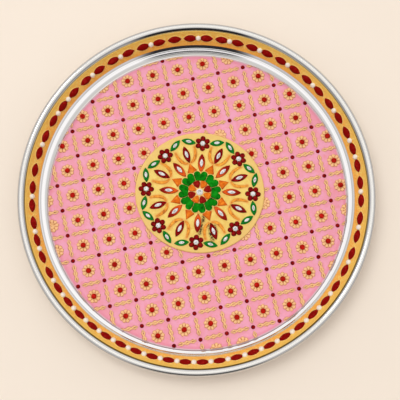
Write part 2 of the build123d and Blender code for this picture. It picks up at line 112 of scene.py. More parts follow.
class ThaliLattice(bpy.types.PropertyGroup):
    """Sizes of the gold lattice and the flowers in its cells."""

    pitch_along: size("Pitch along", "Cell length", 22.5)
    pitch_across: size("Pitch across", "Cell width", 22.1)
    turn: angle("Turn", "Turn of the lattice", 13.2)
    shift_x: size("Shift X", "Place of a crossing in X", 0.1)
    shift_y: size("Shift Y", "Place of a crossing in Y", -7.8)
    dot_radius: size("Crossing bead", "Radius of the bead at a crossing", 1.8)
    dot_height: size("Crossing bead height", "Height of the bead at a crossing", 1.1)
    link_gap: size("Link gap", "Gap between a bead and the end of a link", 1.7)
    link_spread: size("Link spread", "How far the two cords of a link swing out", 1.0)
    cord_radius: size("Cord radius", "Half width of one cord of a link", 1.15)
    cord_height: size("Cord height", "Height of a cord", 0.95)
    petals: count("Petals", "Petals of a flower", 9)
    flower_radius: size("Flower radius", "Reach of the petals", 5.9)
    petal_height: size("Petal height", "Height of the petals", 0.8)
    heart_radius: size("Red bead", "Radius of the red bead", 2.35)
    heart_height: size("Red bead height", "Height of the red bead", 1.3)


class ThaliRim(bpy.types.PropertyGroup):
    """Sizes of the jewelled band on the wall."""

    band_width: size("Band width", "Width of the gold band", 13.2)
    band_drop: size("Band drop", "Distance of the band from the rolled edge", 1.9)
    band_lean: size("Band lean", "How much higher the band lies on the wall at the front", 1.3)
    band_back: size("Band back", "Distance of the band's back from the wall", 0.7)
    band_face: size("Band face", "Distance of the band's face from the wall", 1.2)
    stones: count("Stones", "Marquise stones round the rim", 60)
    stone_length: size("Stone length", "Length of a stone", 12.2)
    stone_width: size("Stone width", "Width of a stone", 6.4)
    stone_height: size("Stone height", "Height of a stone", 2.2)
    collar: size("Collar", "Width of the gold collar", 0.6)
    collar_height: size("Collar height", "Height of the gold collar", 0.9)
    pearl_radius: size("Pearl radius", "Radius of a half pearl", 2.3)
    pearl_height: size("Pearl height", "Height of a half pearl", 2.1)
    seat: size("Seat", "How far the stones stand above the band's face", 0.1)
    first_angle: angle("First stone", "Angle of the first stone", 3)


class ThaliMedallion(bpy.types.PropertyGroup):
    """Sizes of the oval medallion and its enamel."""

    centre_x: size("Centre X", "Middle of the medallion in X", 2.8)
    centre_y: size("Centre Y", "Middle of the medallion in Y", 3.6)
    turn: angle("Turn", "Turn of the medallion", -3.3)
    radius_x: size("Long radius", "Half length of the oval", 55.3)
    radius_y: size("Short radius", "Half width of the oval", 52.2)
    thickness: size("Thickness", "Thickness of the oval plaque", 1.6)
    top: size("Top", "Height of the plaque's face", PLAQUE_TOP)
    edge_round: size("Edge round", "Rounding of the plaque's edge", 1.2)
    motifs: count("Motifs", "How often the pattern repeats round the middle", 8)
    tray_height: size("Tray height", "Height of the gold tray under the green cells", 0.5)
    tray_outline: size("Tray outline", "Gold line round the green cells", 0.45)
    heart_inner: size("Green inner radius", "Where the green cells start", 9.8)
    heart_outer: size("Green outer radius", "Where the green cells end", 18.3)
    heart_gap: size("Green gap", "Gap between the green cells", 0.3)
    heart_height: size("Green height", "Height of the green cells", 0.9)
    petal_ring: size("Petal ring", "Radius of the ring of centre petals", 6.9)
    petal_length: size("Petal length", "Length of a centre petal", 6.4)
    petal_width: size("Petal width", "Width of a centre petal", 5.4)
    petal_height: size("Petal height", "Height of a centre petal", 1.0)
    stone_radius: size("Centre stone", "Radius of the centre stone", 3.0)
    stone_height: size("Centre stone height", "Height of the centre stone", 2.0)
    point_start: size("Point start", "Where the orange points start", 17.0)
    point_end: size("Point end", "Where the orange points end", 26.4)
    point_width: size("Point width", "Width of an orange point", 8.6)
    point_height: size("Point height", "Height of an orange point", 0.8)
    inner_ring_x: size("Inner ring X", "Ring of the orange red cells in X", 27.62)
    inner_ring_y: size("Inner ring Y", "Ring of the orange red cells in Y", 26.08)
    inner_length: size("Inner length", "Length of an orange red cell", 16.6)
    inner_width: size("Inner width", "Width of an orange red cell", 6.2)
    inner_stone_length: size("Inner stone length", "Length of their stones", 6.8)
    inner_stone_width: size("Inner stone width", "Width of their stones", 2.8)
    outer_ring_x: size("Outer ring X", "Ring of the maroon cells in X", 36.4)
    outer_ring_y: size("Outer ring Y", "Ring of the maroon cells in Y", 35.0)
    outer_length: size("Outer length", "Length of a maroon cell", 15.4)
    outer_width: size("Outer width", "Width of a maroon cell", 5.8)
    outer_stone_length: size("Outer stone length", "Length of their stones", 6.4)
    outer_stone_width: size("Outer stone width", "Width of their stones", 2.7)
    cell_height: size("Cell height", "Height of the enamel cells", 1.0)
    stone_top: size("Stone top", "Height of the white stones over the plaque", 1.9)
    stroke_width: size("Stroke width", "Width of a lotus stroke", 2.7)
    stroke_height: size("Stroke height", "Height of a lotus stroke", 0.6)
    flower_ring_x: size("Flower ring X", "Ring of the flowers in X", 45.7)
    flower_ring_y: size("Flower ring Y", "Ring of the flowers in Y", 42.6)
    flower_petals: count("Flower petals", "Petals of an edge flower", 6)
    flower_petal: size("Flower petal", "Radius of a round petal", 2.2)
    flower_petal_ring: size("Flower petal ring", "Ring of the round petals", 4.3)
    flower_petal_height: size("Flower petal height", "Height of a round petal", 1.4)
    flower_stone: size("Flower stone", "Radius of the flower's stone", 2.1)
    flower_stone_height: size("Flower stone height", "Height of the flower's stone", 1.9)
    leaf_length: size("Leaf length", "Length of a leaf", 12.8)
    leaf_width: size("Leaf width", "Width of a leaf", 5.3)
    leaf_reach: size("Leaf reach", "Distance of a leaf from its flower", 12.2)
    leaf_lift: size("Leaf lift", "How far a leaf lies outside its flower", 1.0)
    leaf_tilt: angle("Leaf tilt", "Tilt of a leaf against the edge", 9)
    leaf_stone_length: size("Leaf stone length", "Length of a leaf's stone", 5.0)
    leaf_stone_width: size("Leaf stone width", "Width of a leaf's stone", 2.4)


class ThaliColours(bpy.types.PropertyGroup):
    """Colours of the finishes."""

    steel: paint("Steel", "Polished steel", 245, 244, 242)
    pink: paint("Pink", "Pink enamel", 241, 155, 174)
    pink_lilac: paint("Lilac pink", "Cooler clouds in the enamel", 244, 168, 196)
    pink_salmon: paint("Salmon pink", "Warmer clouds in the enamel", 242, 146, 156)
    # Painted shade: deeper rose where the lining climbs the cove, and a pale greyish lip at its edge
    pink_edge: paint("Rose", "Enamel where it climbs the cove", 232, 138, 162)
    pink_shaded_lip: paint("Worn edge", "Pale edge of the enamel", 214, 186, 192)
    relief_gold: paint("Relief gold", "Piped gold lines", 251, 198, 142)
    # Painted shade: the brown foot of the gold lines and the tan edges of the gold petals; the brown also
    # makes specks in the collars
    relief_shade: paint("Relief shade", "Foot of the gold lines", 186, 120, 60)
    relief_petal_shade: paint("Relief tan", "Edges of the gold petals", 212, 146, 88)
    band_gold: paint("Band gold", "Gold band", 246, 193, 90)
    band_olive: paint("Band olive", "Outer side of the band", 238, 190, 86)
    band_amber: paint("Band amber", "Inner side of the band", 248, 168, 66)
    collar_gold: paint("Collar gold", "Collars of the stones and outline of the tray", 255, 210, 122)
    maroon: paint("Maroon", "Rim stones", 132, 6, 2)
    # Painted shade at the rounded edges of the maroon beads and cells
    maroon_deep: paint("Deep maroon", "Edges of the maroon beads and cells", 78, 2, 2)
    red_bead: paint("Red bead", "Beads in the flowers", 176, 16, 5)
    # Painted shade at the rounded edges of the red beads and orange red cells
    red_dark: paint("Dark red", "Edges of the red beads and orange red cells", 140, 14, 8)
    dot: paint("Crossing bead", "Beads at the crossings, maroon cells and petals", 134, 9, 8)
    pearl: paint("Pearl", "Half pearls", 246, 234, 218)
    # Painted sheen: the pearls keep the paler pearl colour at their edge and turn this greyer one on the
    # crown
    pearl_grey: paint("Pearl grey", "Greyer crown of the pearls", 228, 214, 196)
    plaque: paint("Plaque", "Yellow ground of the medallion", 246, 213, 116)
    plaque_pale: paint("Plaque border", "Paler border of the medallion", 239, 198, 120)
    plaque_bright: paint("Plaque light", "Lighter specks of the ground and the band", 250, 222, 128)
    plaque_deep: paint("Plaque shade", "Deeper clouds of the ground", 237, 193, 96)
    # Partly painted shadow: the brown marks beside one cell stand for its shadow, the rest are smudges
    smudge: paint("Smudge", "Brown marks on the ground", 34, 18, 8)
    orange: paint("Orange", "Orange enamel", 226, 114, 24)
    stroke: paint("Brush orange", "Lotus strokes", 240, 150, 50)
    stroke_line: paint("Brush outline", "Brown line beside the lotus strokes", 168, 90, 30)
    # Painted shade at the edges of the orange enamel
    orange_deep: paint("Deep orange", "Edges of the orange enamel", 204, 84, 16)
    green: paint("Green", "Green cells", 8, 124, 12)
    # Painted shade at the edges of the green cells
    green_deep: paint("Deep green", "Edges of the green cells", 4, 66, 8)
    leaf: paint("Leaf green", "Leaves", 16, 118, 34)
    # Painted shade at the edges of the leaves
    leaf_deep: paint("Deep leaf green", "Edges of the leaves", 10, 84, 28)
    flame: paint("Flame", "Inner ends of the orange red cells", 224, 90, 28)
    red: paint("Red", "Red petals and outer ends of the orange red cells", 140, 16, 8)
    # Painted shade at the edges of the flower petals, between them
    petal: paint("Petal maroon", "Edges of the flower petals", 84, 3, 8)
    stone: paint("White stone", "White stones", 240, 240, 238)
    # Painted reflection: grey streak on the crowns of the white stones
    stone_reflection_grey: paint("Stone grey", "Streaks in the white stones", 146, 150, 158)
    glue: paint("Glue", "Glue films", 206, 188, 140)
    backdrop: paint("Backdrop", "Floor and backdrop", 245, 231, 216)


class Shape(NamedTuple):
    """Points of a surface, its quads and triangles, and named values at the points."""

    points: np.ndarray
    quads: np.ndarray
    triangles: np.ndarray
    marks: dict


NO_TRIANGLES = np.zeros((0, 3), int)


def ring_quads(rows, columns, closed_rows=False):
    """Quads of stacked rings: point (row, column) joins its neighbours, and each ring closes on itself."""
    row = np.arange(rows if closed_rows else rows - 1)[:, None]
    column = np.arange(columns)[None, :]
    above = (row + 1) % rows
    beside = (column + 1) % columns
    corners = (
        row * columns + column,
        row * columns + beside,
        above * columns + beside,
        above * columns + column,
    )
    return np.stack(corners, axis=-1).reshape(-1, 4)


def capped(rings, marks=None):
    """Closed skin over stacked rings (rows, columns, 3), with a pole in the middle of both end rings."""
    rows, columns = rings.shape[:2]
    poles = rings[[0, -1]].mean(axis=1)
    points = np.concatenate([rings.reshape(-1, 3), poles])
    column = np.arange(columns)
    beside = (column + 1) % columns
    top = (rows - 1) * columns
    under = np.stack([np.full(columns, rows * columns), beside, column], axis=-1)
    over = np.stack([top + column, top + beside, np.full(columns, rows * columns + 1)], axis=-1)
    kept = {}
    for name, values in (marks or {}).items():
        kept[name] = np.concatenate([values.reshape(-1), values[[0, -1]].mean(axis=1)])
    return Shape(points, ring_quads(rows, columns), np.concatenate([under, over]), kept)


def looped(rings):
    """Closed skin over rings whose last joins the first again, as on a hoop."""
    rows, columns = rings.shape[:2]
    return Shape(rings.reshape(-1, 3), ring_quads(rows, columns, True), NO_TRIANGLES, {})


def full_turn(points):
    """Angles at even steps once round, without the last, which would be the first again."""
    return np.linspace(0, 2 * np.pi, points, endpoint=False)


def round_axis(radius, turn, height):
    """Points round the Z axis: x is the radius times the cosine and y the radius times the sine."""
    x = radius * np.cos(turn)
    y = radius * np.sin(turn)
    return np.stack([x, y, np.broadcast_to(height, x.shape)], axis=-1)


def turned(profile, columns):
    """Rings of a turned shape: each profile point (radius, height) goes round the Z axis."""
    return round_axis(profile[:, 0, None], full_turn(columns), profile[:, 1, None])


def arc(centre, radius, first, last, steps):
    """Profile points on a circle about a centre, from one angle in degrees to another."""
    turn = np.radians(np.linspace(first, last, steps))
    return np.stack([centre[0] + radius * np.cos(turn), centre[1] + radius * np.sin(turn)], axis=-1)


def line(first, last, steps):
    """Points at even steps on a straight line, both ends included."""
    share = np.linspace(0, 1, steps)[:, None]
    return np.array(first) * (1 - share) + np.array(last) * share


def oval(radius_x, radius_y, points):
    """Ellipse: x is radius_x times the cosine and y radius_y times the sine."""
    turn = full_turn(points)
    return np.stack([radius_x * np.cos(turn), radius_y * np.sin(turn)], axis=-1)


def marquise(length, width, points):
    """Pointed oval of two equal arcs through both tips: y = root(q^2 - x^2) - (q - width / 2)."""
    half_length = length / 2
    half_width = width / 2
    bow = (half_length**2 + half_width**2) / (2 * half_width)
    turn = full_turn(points)
    x = half_length * np.cos(turn)
    rise = np.sqrt(np.maximum(bow**2 - x**2, 0)) - (bow - half_width)
    return np.stack([x, np.where(np.sin(turn) >= 0, rise, -rise)], axis=-1)


TEARDROP_SWELL = 0.4
WEDGE_SWELL = 0.45
WEDGE_POWER = 0.85


def teardrop(length, width, points):
    """Petal outline, fuller at its outer end: x = a cos t and y = b sin t (1 + swell cos t)."""
    turn = full_turn(points)
    y = width / 2 * np.sin(turn) * (1 + TEARDROP_SWELL * np.cos(turn))
    return np.stack([length / 2 * np.cos(turn), y], axis=-1)


def wedge(length, width, points):
    """Full petal: x = a |cos t|^p and y = b |sin t|^p (1 + swell x / a), with the signs kept."""
    turn = full_turn(points)
    x = np.sign(np.cos(turn)) * np.abs(np.cos(turn)) ** WEDGE_POWER
    y = np.sign(np.sin(turn)) * np.abs(np.sin(turn)) ** WEDGE_POWER * (1 + WEDGE_SWELL * x)
    return np.stack([length / 2 * x, width / 2 * y], axis=-1)


def dome(outline, shares, heights):
    """Closed low form over an outline: ring k is the outline shrunk to share k at height k.

    A share can be one number or a pair for X and Y. The mark crown runs from 0 at the edge to 1 in the
    middle, and the mark along from 0 at the low X end to 1 at the high one.
    """
    shares = np.array(shares, float)
    if shares.ndim == 1:
        shares = np.repeat(shares[:, None], 2, axis=1)
    flat = outline[None, :, :] * shares[:, None, :]
    level = np.broadcast_to(np.array(heights, float)[:, None, None], flat.shape[:2] + (1,))
    crown = np.broadcast_to(1 - shares.min(axis=1)[:, None], flat.shape[:2])
    low = outline[:, 0].min()
    along = (flat[:, :, 0] - low) / np.ptp(outline[:, 0])
    return capped(np.concatenate([flat, level], axis=-1), {"crown": crown, "along": along})


BEAD_TOP = 82
TAPER_ENDS = (0.03, 0.97)
PILLOW_FOOT = 0.35
PILLOW_ROUND = 0.55
PILLOW_CREST = 0.97


def bead_profile(height, rows):
    """Shares and heights of a round bead: share is cos t and height goes by sin t, up to its top ring."""
    turn = np.linspace(0, np.radians(BEAD_TOP), rows)
    return np.cos(turn), height * np.sin(turn) / np.sin(turn[-1])


def pillow_profile(height, edge_share, rows):
    """Shares and heights of a pillow: an upright foot, a quarter round, then a nearly level top."""
    turn = np.linspace(0, np.pi / 2, rows)
    rounded = 1 - edge_share * (1 - np.cos(turn))
    crest_share = 0.7 * (1 - edge_share)
    top_share = 0.1
    shares = np.concatenate([[1], rounded, [crest_share, top_share]])
    rise = PILLOW_FOOT + PILLOW_ROUND * np.sin(turn)
    heights = np.concatenate([[0], height * rise, [PILLOW_CREST * height, height]])
    return shares, heights


def tapered(share, power):
    """Fullness along a ridge: sin(pi t) to a power, so that it runs out thin at both ends."""
    return np.sin(np.pi * np.clip(share, *TAPER_ENDS)) ** power


def swept(path, half_width, rise, columns):
    """Half round ridge along an open path (stations, 3), closed at both ends.

    The ring at a station is path + side * half_width * cos t + up * rise * max(sin t, 0).
    """
    ahead = np.gradient(path, axis=0)
    side = np.stack([-ahead[:, 1], ahead[:, 0], np.zeros(len(path))], axis=-1)
    side /= np.linalg.norm(side, axis=1, keepdims=True)
    turn = full_turn(columns)
    across = half_width[:, None] * np.cos(turn)
    lift = rise[:, None] * np.maximum(np.sin(turn), 0)
    rings = path[:, None, :] + side[:, None, :] * across[:, :, None]
    rings[:, :, 2] += lift
    crown = np.broadcast_to(np.maximum(np.sin(turn), 0), lift.shape)
    along = np.broadcast_to(np.linspace(0, 1, len(path))[:, None], lift.shape)
    return capped(rings, {"crown": crown, "along": along})


def joined(*shapes):
    """Several shapes as one: points in a row, with the faces' numbers moved on."""
    starts = np.cumsum([0] + [len(shape.points) for shape in shapes[:-1]])
    marks = {}
    for name in shapes[0].marks:
        marks[name] = np.concatenate([shape.marks[name] for shape in shapes])
    return Shape(
        np.concatenate([shape.points for shape in shapes]),
        np.concatenate([shape.quads + start for shape, start in zip(shapes, starts)]),
        np.concatenate([shape.triangles + start for shape, start in zip(shapes, starts)]),
        marks,
    )


def spread(shape, points):
    """One shape repeated: points holds the placed points of each copy (copies, points, 3)."""
    copies, own = points.shape[:2]
    step = np.arange(copies)[:, None, None] * own
    marks = {name: np.tile(values, copies) for name, values in shape.marks.items()}
    return Shape(
        points.reshape(-1, 3),
        (shape.quads[None] + step).reshape(-1, 4),
        (shape.triangles[None] + step).reshape(-1, 3),
        marks,
    )


def laid(points, places):
    """Points lying flat at places (x, y, z, turn): each is turned about Z and then moved."""
    places = np.asarray(places, float)
    cosine = np.cos(places[:, 3, None])
    sine = np.sin(places[:, 3, None])
    x, y, z = points.T
    level = np.broadcast_to(z, (len(places), len(z)))
    moved = np.stack([x * cosine - y * sine, x * sine + y * cosine, level], axis=-1)
    return moved + places[:, None, :3]


def copies(shape, places):
    """One shape repeated, lying flat at places (x, y, z, turn)."""
    return spread(shape, laid(shape.points, places))


def petal_ring(petals, radius):
    """Places in a ring about the origin, X pointing outwards."""
    turn = np.arange(petals) * 2 * np.pi / petals
    return np.stack([radius * np.cos(turn), radius * np.sin(turn), 0 * turn, turn], axis=-1)


def make_piece(name, shape, material, nodes, smooth=True):
    """Puts a shape into a mesh object, which stands for its CAD nodes and rides on the dish."""
    mesh = bpy.data.meshes.new(name)
    faces = shape.quads.tolist() + shape.triangles.tolist()
    mesh.from_pydata(shape.points.tolist(), [], faces, shade_flat=not smooth)
    for mark, values in shape.marks.items():
        layer = mesh.attributes.new(mark, "FLOAT", "POINT")
        layer.data.foreach_set("value", np.ascontiguousarray(values, dtype=np.float32))
    mesh.materials.append(material)
    mesh.update()
    if not mesh.polygons:
        raise RuntimeError(f"{name} has no faces")
    piece = bpy.data.objects.new(name, mesh)
    bpy.context.scene.collection.objects.link(piece)
    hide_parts(*nodes)
    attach(piece, "root")


def dish_points(dish):
    """Named points of the dish's profile, worked out from its sizes."""
    slope = dish.wall_angle
    bead = (dish.plate_radius - dish.bead_radius, dish.plate_height - dish.bead_radius)
    wall_top = (
        bead[0] - dish.bead_radius * math.sin(slope),
        bead[1] + dish.bead_radius * math.cos(slope),
    )
    cove_height = dish.sheet + dish.cove_radius * (1 - math.cos(slope))
    cove_radius = wall_top[0] - (wall_top[1] - cove_height) / math.tan(slope)
    floor_radius = cove_radius - dish.cove_radius * math.sin(slope)
    return {
        "bead": bead,
        "wall_top": wall_top,
        "floor_radius": floor_radius,
        "cove": (floor_radius, dish.sheet + dish.cove_radius),
    }


LINING_SKEW = 0.3
RELIEF_BACK = 0.35 * MM
PLAQUE_GAP = 0.1 * MM
LEAST_REACH = 0.01
LEAST_RADIUS = 1e-6


def lining_bow(dish):
    """Radius of the lining's upper face where it climbs the cove."""
    return dish.cove_radius - dish.lining_gap - dish.lining


def lining_edge(dish, turn):
    """Radius of the lining's edge: its mean, less the drift times sin t - skew cos t."""
    mean = dish_points(dish)["floor_radius"] + lining_bow(dish) * math.sin(dish.lining_curl)
    return mean - dish.lining_drift * (np.sin(turn) - LINING_SKEW * np.cos(turn))


def on_lining(points, dish):
    """Lets flat points follow the lining's curl: past the floor z rises by q - root(q^2 - past^2)."""
    bow = lining_bow(dish)
    radius = np.hypot(points[..., 0], points[..., 1])
    past = np.maximum(radius - dish_points(dish)["floor_radius"], 0)
    points[..., 2] += bow - np.sqrt(np.maximum(bow**2 - past**2, 0))
    return points


def on_medallion(medallion, x, y):
    """X and Y on the dish of points on the medallion's axes: turned about Z, then moved to its middle."""
    cosine = math.cos(medallion.turn)
    sine = math.sin(medallion.turn)
    east = medallion.centre_x + x * cosine - y * sine
    north = medallion.centre_y + x * sine + y * cosine
    return east, north


def trimmed(shape, points, dish, medallion, least):
    """Copies cut at the lining's edge and at the medallion: points outside are drawn back to the border.

    A copy stays if at least a given share of its points lies in the field.
    """
    edge = lining_edge(dish, np.arctan2(points[..., 1], points[..., 0])) - RELIEF_BACK
    radius = np.hypot(points[..., 0], points[..., 1])
    cosine = math.cos(medallion.turn)
    sine = math.sin(medallion.turn)
    east = points[..., 0] - medallion.centre_x
    north = points[..., 1] - medallion.centre_y
    long_side = medallion.radius_x + PLAQUE_GAP
    short_side = medallion.radius_y + PLAQUE_GAP
    oval_x = (east * cosine + north * sine) / long_side
    oval_y = (north * cosine - east * sine) / short_side
    reach = np.hypot(oval_x, oval_y)
    stays = ((radius < edge) & (reach > 1)).mean(axis=1) >= least
    grow = np.maximum(1 / np.maximum(reach, LEAST_REACH), 1)
    east, north = on_medallion(medallion, oval_x * grow * long_side, oval_y * grow * short_side)
    shrink = np.minimum(edge / np.maximum(radius, LEAST_RADIUS), 1)
    out = np.stack([east * shrink, north * shrink, points[..., 2]], axis=-1)
    return spread(shape, on_lining(out[stays], dish))


def lattice_places(lattice, dish, shift_along, shift_across, turn):
    """Places on the turned grid, shifted by shares of a cell, over the whole lining."""
    reach = int(math.ceil(dish.plate_radius / min(lattice.pitch_along, lattice.pitch_across)))
    steps = np.arange(-reach, reach + 1)
    along, across = np.meshgrid(steps, steps, indexing="ij")
    u = (along.ravel() + shift_along) * lattice.pitch_along
    v = (across.ravel() + shift_across) * lattice.pitch_across
    cosine = math.cos(lattice.turn)
    sine = math.sin(lattice.turn)
    x = lattice.shift_x + u * cosine - v * sine
    y = lattice.shift_y + u * sine + v * cosine
    level = np.full(x.shape, dish.lining_top)
    return np.stack([x, y, level, np.full(x.shape, lattice.turn + turn)], axis=-1)


def ring_places(medallion, ring_x, ring_y, level, half_step, drift=None):
    """Places of the medallion's motifs on an oval ring, X pointing outwards.

    The drift is how far each motif lies off its even place, as X and Y in millimetres.
    """
    step = 2 * np.pi / medallion.motifs
    turn = medallion.turn + step * (np.arange(medallion.motifs) + (0.5 if half_step else 0))
    x = medallion.centre_x + ring_x * np.cos(turn)
    y = medallion.centre_y + ring_y * np.sin(turn)
    places = np.stack([x, y, np.full(turn.shape, level), turn], axis=-1)
    if drift:
        places[:, :2] += np.array(drift) * MM
    return places


def beside(places, forward, sideways, turn):
    """Places moved in their own directions and turned on."""
    cosine = np.cos(places[:, 3])
    sine = np.sin(places[:, 3])
    x = places[:, 0] + forward * cosine - sideways * sine
    y = places[:, 1] + forward * sine + sideways * cosine
    return np.stack([x, y, places[:, 2], places[:, 3] + turn], axis=-1)


RIM_DRIFT_COSINE = 0.143
RIM_DRIFT_SINE = 0.209
# Numbers of the stones after which the next one follows without a pearl
GAPS_WITHOUT_PEARL = (0, 3, 5, 7, 9, 11, 13, 15, 16, 18, 20, 22, 25, 27, 28, 30, 33, 54, 56, 58)


def rim_angles(rim, number):
    """Angle of stone number n: even steps, with a drift that swings twice round the rim."""
    step = 2 * np.pi / rim.stones
    swing = 2 * number * step
    drift = RIM_DRIFT_COSINE * np.cos(swing) + RIM_DRIFT_SINE * np.sin(swing)
    return rim.first_angle + (number + drift) * step


def on_wall(dish, down, out):
    """Profile point at a distance down the wall and a distance out of it."""
    top = dish_points(dish)["wall_top"]
    slope = dish.wall_angle
    radius = top[0] - down * math.cos(slope) - out * math.sin(slope)
    height = top[1] - down * math.sin(slope) + out * math.cos(slope)
    return radius, height


def band_lift(rim, turn):
    """How far the band lies up the wall by angle: the lean at the front, nothing at the back."""
    return 0.5 * rim.band_lean * (1 - np.sin(turn))


def seated(points, angles, dish, rim):
    """Places points (copies, points, 3) on the band's middle, X along the rim and Z out of the wall."""
    down = rim.band_drop + rim.band_width / 2 - band_lift(rim, angles)
    radius, height = on_wall(dish, down, rim.band_face + rim.seat)
    slope = dish.wall_angle
    cosine = np.cos(angles)
    sine = np.sin(angles)
    flat = np.zeros_like(angles)
    origin = round_axis(radius, angles, height)
    right = np.stack([-sine, cosine, flat], axis=-1)
    out = np.stack([-math.sin(slope) * cosine, -math.sin(slope) * sine, flat + math.cos(slope)], axis=-1)
    up = np.cross(out, right)
    return (
        origin[:, None, :]
        + points[..., 0, None] * right[:, None, :]
        + points[..., 1, None] * up[:, None, :]
        + points[..., 2, None] * out[:, None, :]
    )


NO_LIMIT = 1.0


def between_pearls(shape, dish, rim):
    """Copies of a shape for every stone, with the tips blunted where a pearl sits next to them."""
    number = np.arange(rim.stones)
    angles = rim_angles(rim, number)
    radius = on_wall(dish, rim.band_drop + rim.band_width / 2, rim.band_face)[0]
    with_pearl = ~np.isin(number, GAPS_WITHOUT_PEARL)
    ahead = radius * (rim_angles(rim, number + 0.5) - angles) - rim.pearl_radius
    ahead = np.where(with_pearl, ahead, NO_LIMIT)
    behind = radius * (angles - rim_angles(rim, number - 0.5)) - rim.pearl_radius
    behind = np.where(np.roll(with_pearl, 1), behind, NO_LIMIT)
    points = np.repeat(shape.points[None], rim.stones, axis=0)
    points[..., 0] = np.clip(points[..., 0], -behind[:, None], ahead[:, None])
    return spread(shape, seated(points, angles, dish, rim))


# Factor and both colours of a mix node, and its colour result, by socket number
MIX_INPUTS = (0, 6, 7)
MIX_RESULT = 2


def feed(tree, value, socket):
    """Gives a socket its value: a link if the value is a socket too, otherwise the plain value."""
    if isinstance(value, bpy.types.NodeSocket):
        tree.links.new(value, socket)
    else:
        socket.default_value = value


def add_node(tree, kind, settings=None, **inputs):
    """Adds a node, sets its options and feeds its inputs."""
    made = tree.nodes.new(kind)
    for key, value in (settings or {}).items():
        setattr(made, key, value)
    for key, value in inputs.items():
        feed(tree, value, made.inputs[key.replace("_", " ")])
    return made


def calc(tree, operation, first, second=0.0, clamp=False):
    """One step of arithmetic on values."""
    made = add_node(tree, "ShaderNodeMath", {"operation": operation, "use_clamp": clamp})
    for socket, value in zip(made.inputs, (first, second)):
        feed(tree, value, socket)
    return made.outputs[0]


def mixed(tree, factor, first, second):
    """A colour between two others."""
    made = add_node(tree, "ShaderNodeMix", {"data_type": "RGBA"})
    for number, value in zip(MIX_INPUTS, (factor, first, second)):
        feed(tree, value, made.inputs[number])
    return made.outputs[MIX_RESULT]


def eased(tree, value, low, high, start=0.0, end=1.0):
    """A value carried smoothly from the range low to high into the range start to end."""
    made = add_node(
        tree,
        "ShaderNodeMapRange",
        {"interpolation_type": "SMOOTHSTEP"},
        Value=value,
        From_Min=low,
        From_Max=high,
        To_Min=start,
        To_Max=end,
    )
    return made.outputs["Result"]


def noise(tree, vector, scale, detail=3.0, roughness=0.55):
    """Soft noise at a scale, as a value from 0 to 1."""
    made = add_node(
        tree, "ShaderNodeTexNoise", Vector=vector, Scale=scale, Detail=detail, Roughness=roughness
    )
    return made.outputs["Fac"]


def object_place(tree):
    """Place on the piece in its own coordinates."""
    return tree.nodes.new("ShaderNodeTexCoord").outputs["Object"]


def mark_value(tree, name):
    """A mark of the piece's points as a value."""
    return add_node(tree, "ShaderNodeAttribute", {"attribute_name": name}).outputs["Fac"]


def solid(colour, share=1.0):
    """Colour of a finish as four numbers, darkened to a share of its light."""
    return (*(value * share for value in colour), 1.0)


def new_group(name, colours, values, results):
    """An empty shader node group: named colours and values go in, a colour and named values come out."""
    tree = bpy.data.node_groups.new(name, "ShaderNodeTree")
    sockets = [(label, "INPUT", "NodeSocketColor") for label in colours]
    sockets += [(label, "INPUT", "NodeSocketFloat") for label in values]
    sockets += [("Color", "OUTPUT", "NodeSocketColor")]
    sockets += [(label, "OUTPUT", "NodeSocketFloat") for label in results]
    for label, way, kind in sockets:
        tree.interface.new_socket(name=label, in_out=way, socket_type=kind)
    return tree, tree.nodes.new("NodeGroupInput"), tree.nodes.new("NodeGroupOutput")


def clouded_colour_group():
    """Group: a colour with slow clouds of a second one and fine specks of a third."""
    name = "Clouded colour"
    if name in bpy.data.node_groups:
        return bpy.data.node_groups[name]
    tree, given, result = new_group(
        name,
        ("Body", "Cloud", "Speck"),
        ("Cloud Scale", "Speck Scale", "Cloud Amount", "Speck Amount"),
        ("Height",),
    )
    where = object_place(tree)
    slow = noise(tree, where, given.outputs["Cloud Scale"], detail=3.0, roughness=0.6)
    fine = noise(tree, where, given.outputs["Speck Scale"], detail=2.0, roughness=0.6)
    cloud = calc(tree, "MULTIPLY", eased(tree, slow, 0.42, 0.62), given.outputs["Cloud Amount"], True)
    speck = calc(tree, "MULTIPLY", eased(tree, fine, 0.5, 0.68), given.outputs["Speck Amount"], True)
    first = mixed(tree, cloud, given.outputs["Body"], given.outputs["Cloud"])
    tree.links.new(mixed(tree, speck, first, given.outputs["Speck"]), result.inputs["Color"])
    tree.links.new(calc(tree, "ADD", slow, fine), result.inputs["Height"])
    return tree


def crown_shade_group():
    """Group: darker towards the edge of a raised form, by its mark crown, with a little noise; on most
    finishes this is painted shade.
    """
    name = "Crown shade"
    if name in bpy.data.node_groups:
        return bpy.data.node_groups[name]
    tree, given, result = new_group(
        name,
        ("Edge", "Body"),
        ("Start", "End", "Noise Scale", "Noise Amount"),
        ("Mask", "Height"),
    )
    grain = noise(tree, object_place(tree), given.outputs["Noise Scale"], detail=2.0)
    shift = calc(tree, "MULTIPLY", calc(tree, "SUBTRACT", grain, 0.5), given.outputs["Noise Amount"])
    crown = calc(tree, "ADD", mark_value(tree, "crown"), shift)
    mask = eased(tree, crown, given.outputs["Start"], given.outputs["End"])
    shaded = mixed(tree, mask, given.outputs["Edge"], given.outputs["Body"])
    tree.links.new(shaded, result.inputs["Color"])
    tree.links.new(mask, result.inputs["Mask"])
    tree.links.new(grain, result.inputs["Height"])
    return tree


def new_material(name, **values):
    """A material with a principled shader, whose plain values are set on its own sockets."""
    material = bpy.data.materials.new(name)
    material.use_nodes = True
    tree = material.node_tree
    shader = tree.nodes["Principled BSDF"]
    for key, value in values.items():
        shader.inputs[key.replace("_", " ")].default_value = value
    return material, tree, shader


def add_bump(tree, shader, height, strength, distance):
    """A bump from a height into the shader's normal."""
    made = add_node(tree, "ShaderNodeBump", Height=height, Strength=strength, Distance=distance)
    tree.links.new(made.outputs["Normal"], shader.inputs["Normal"])


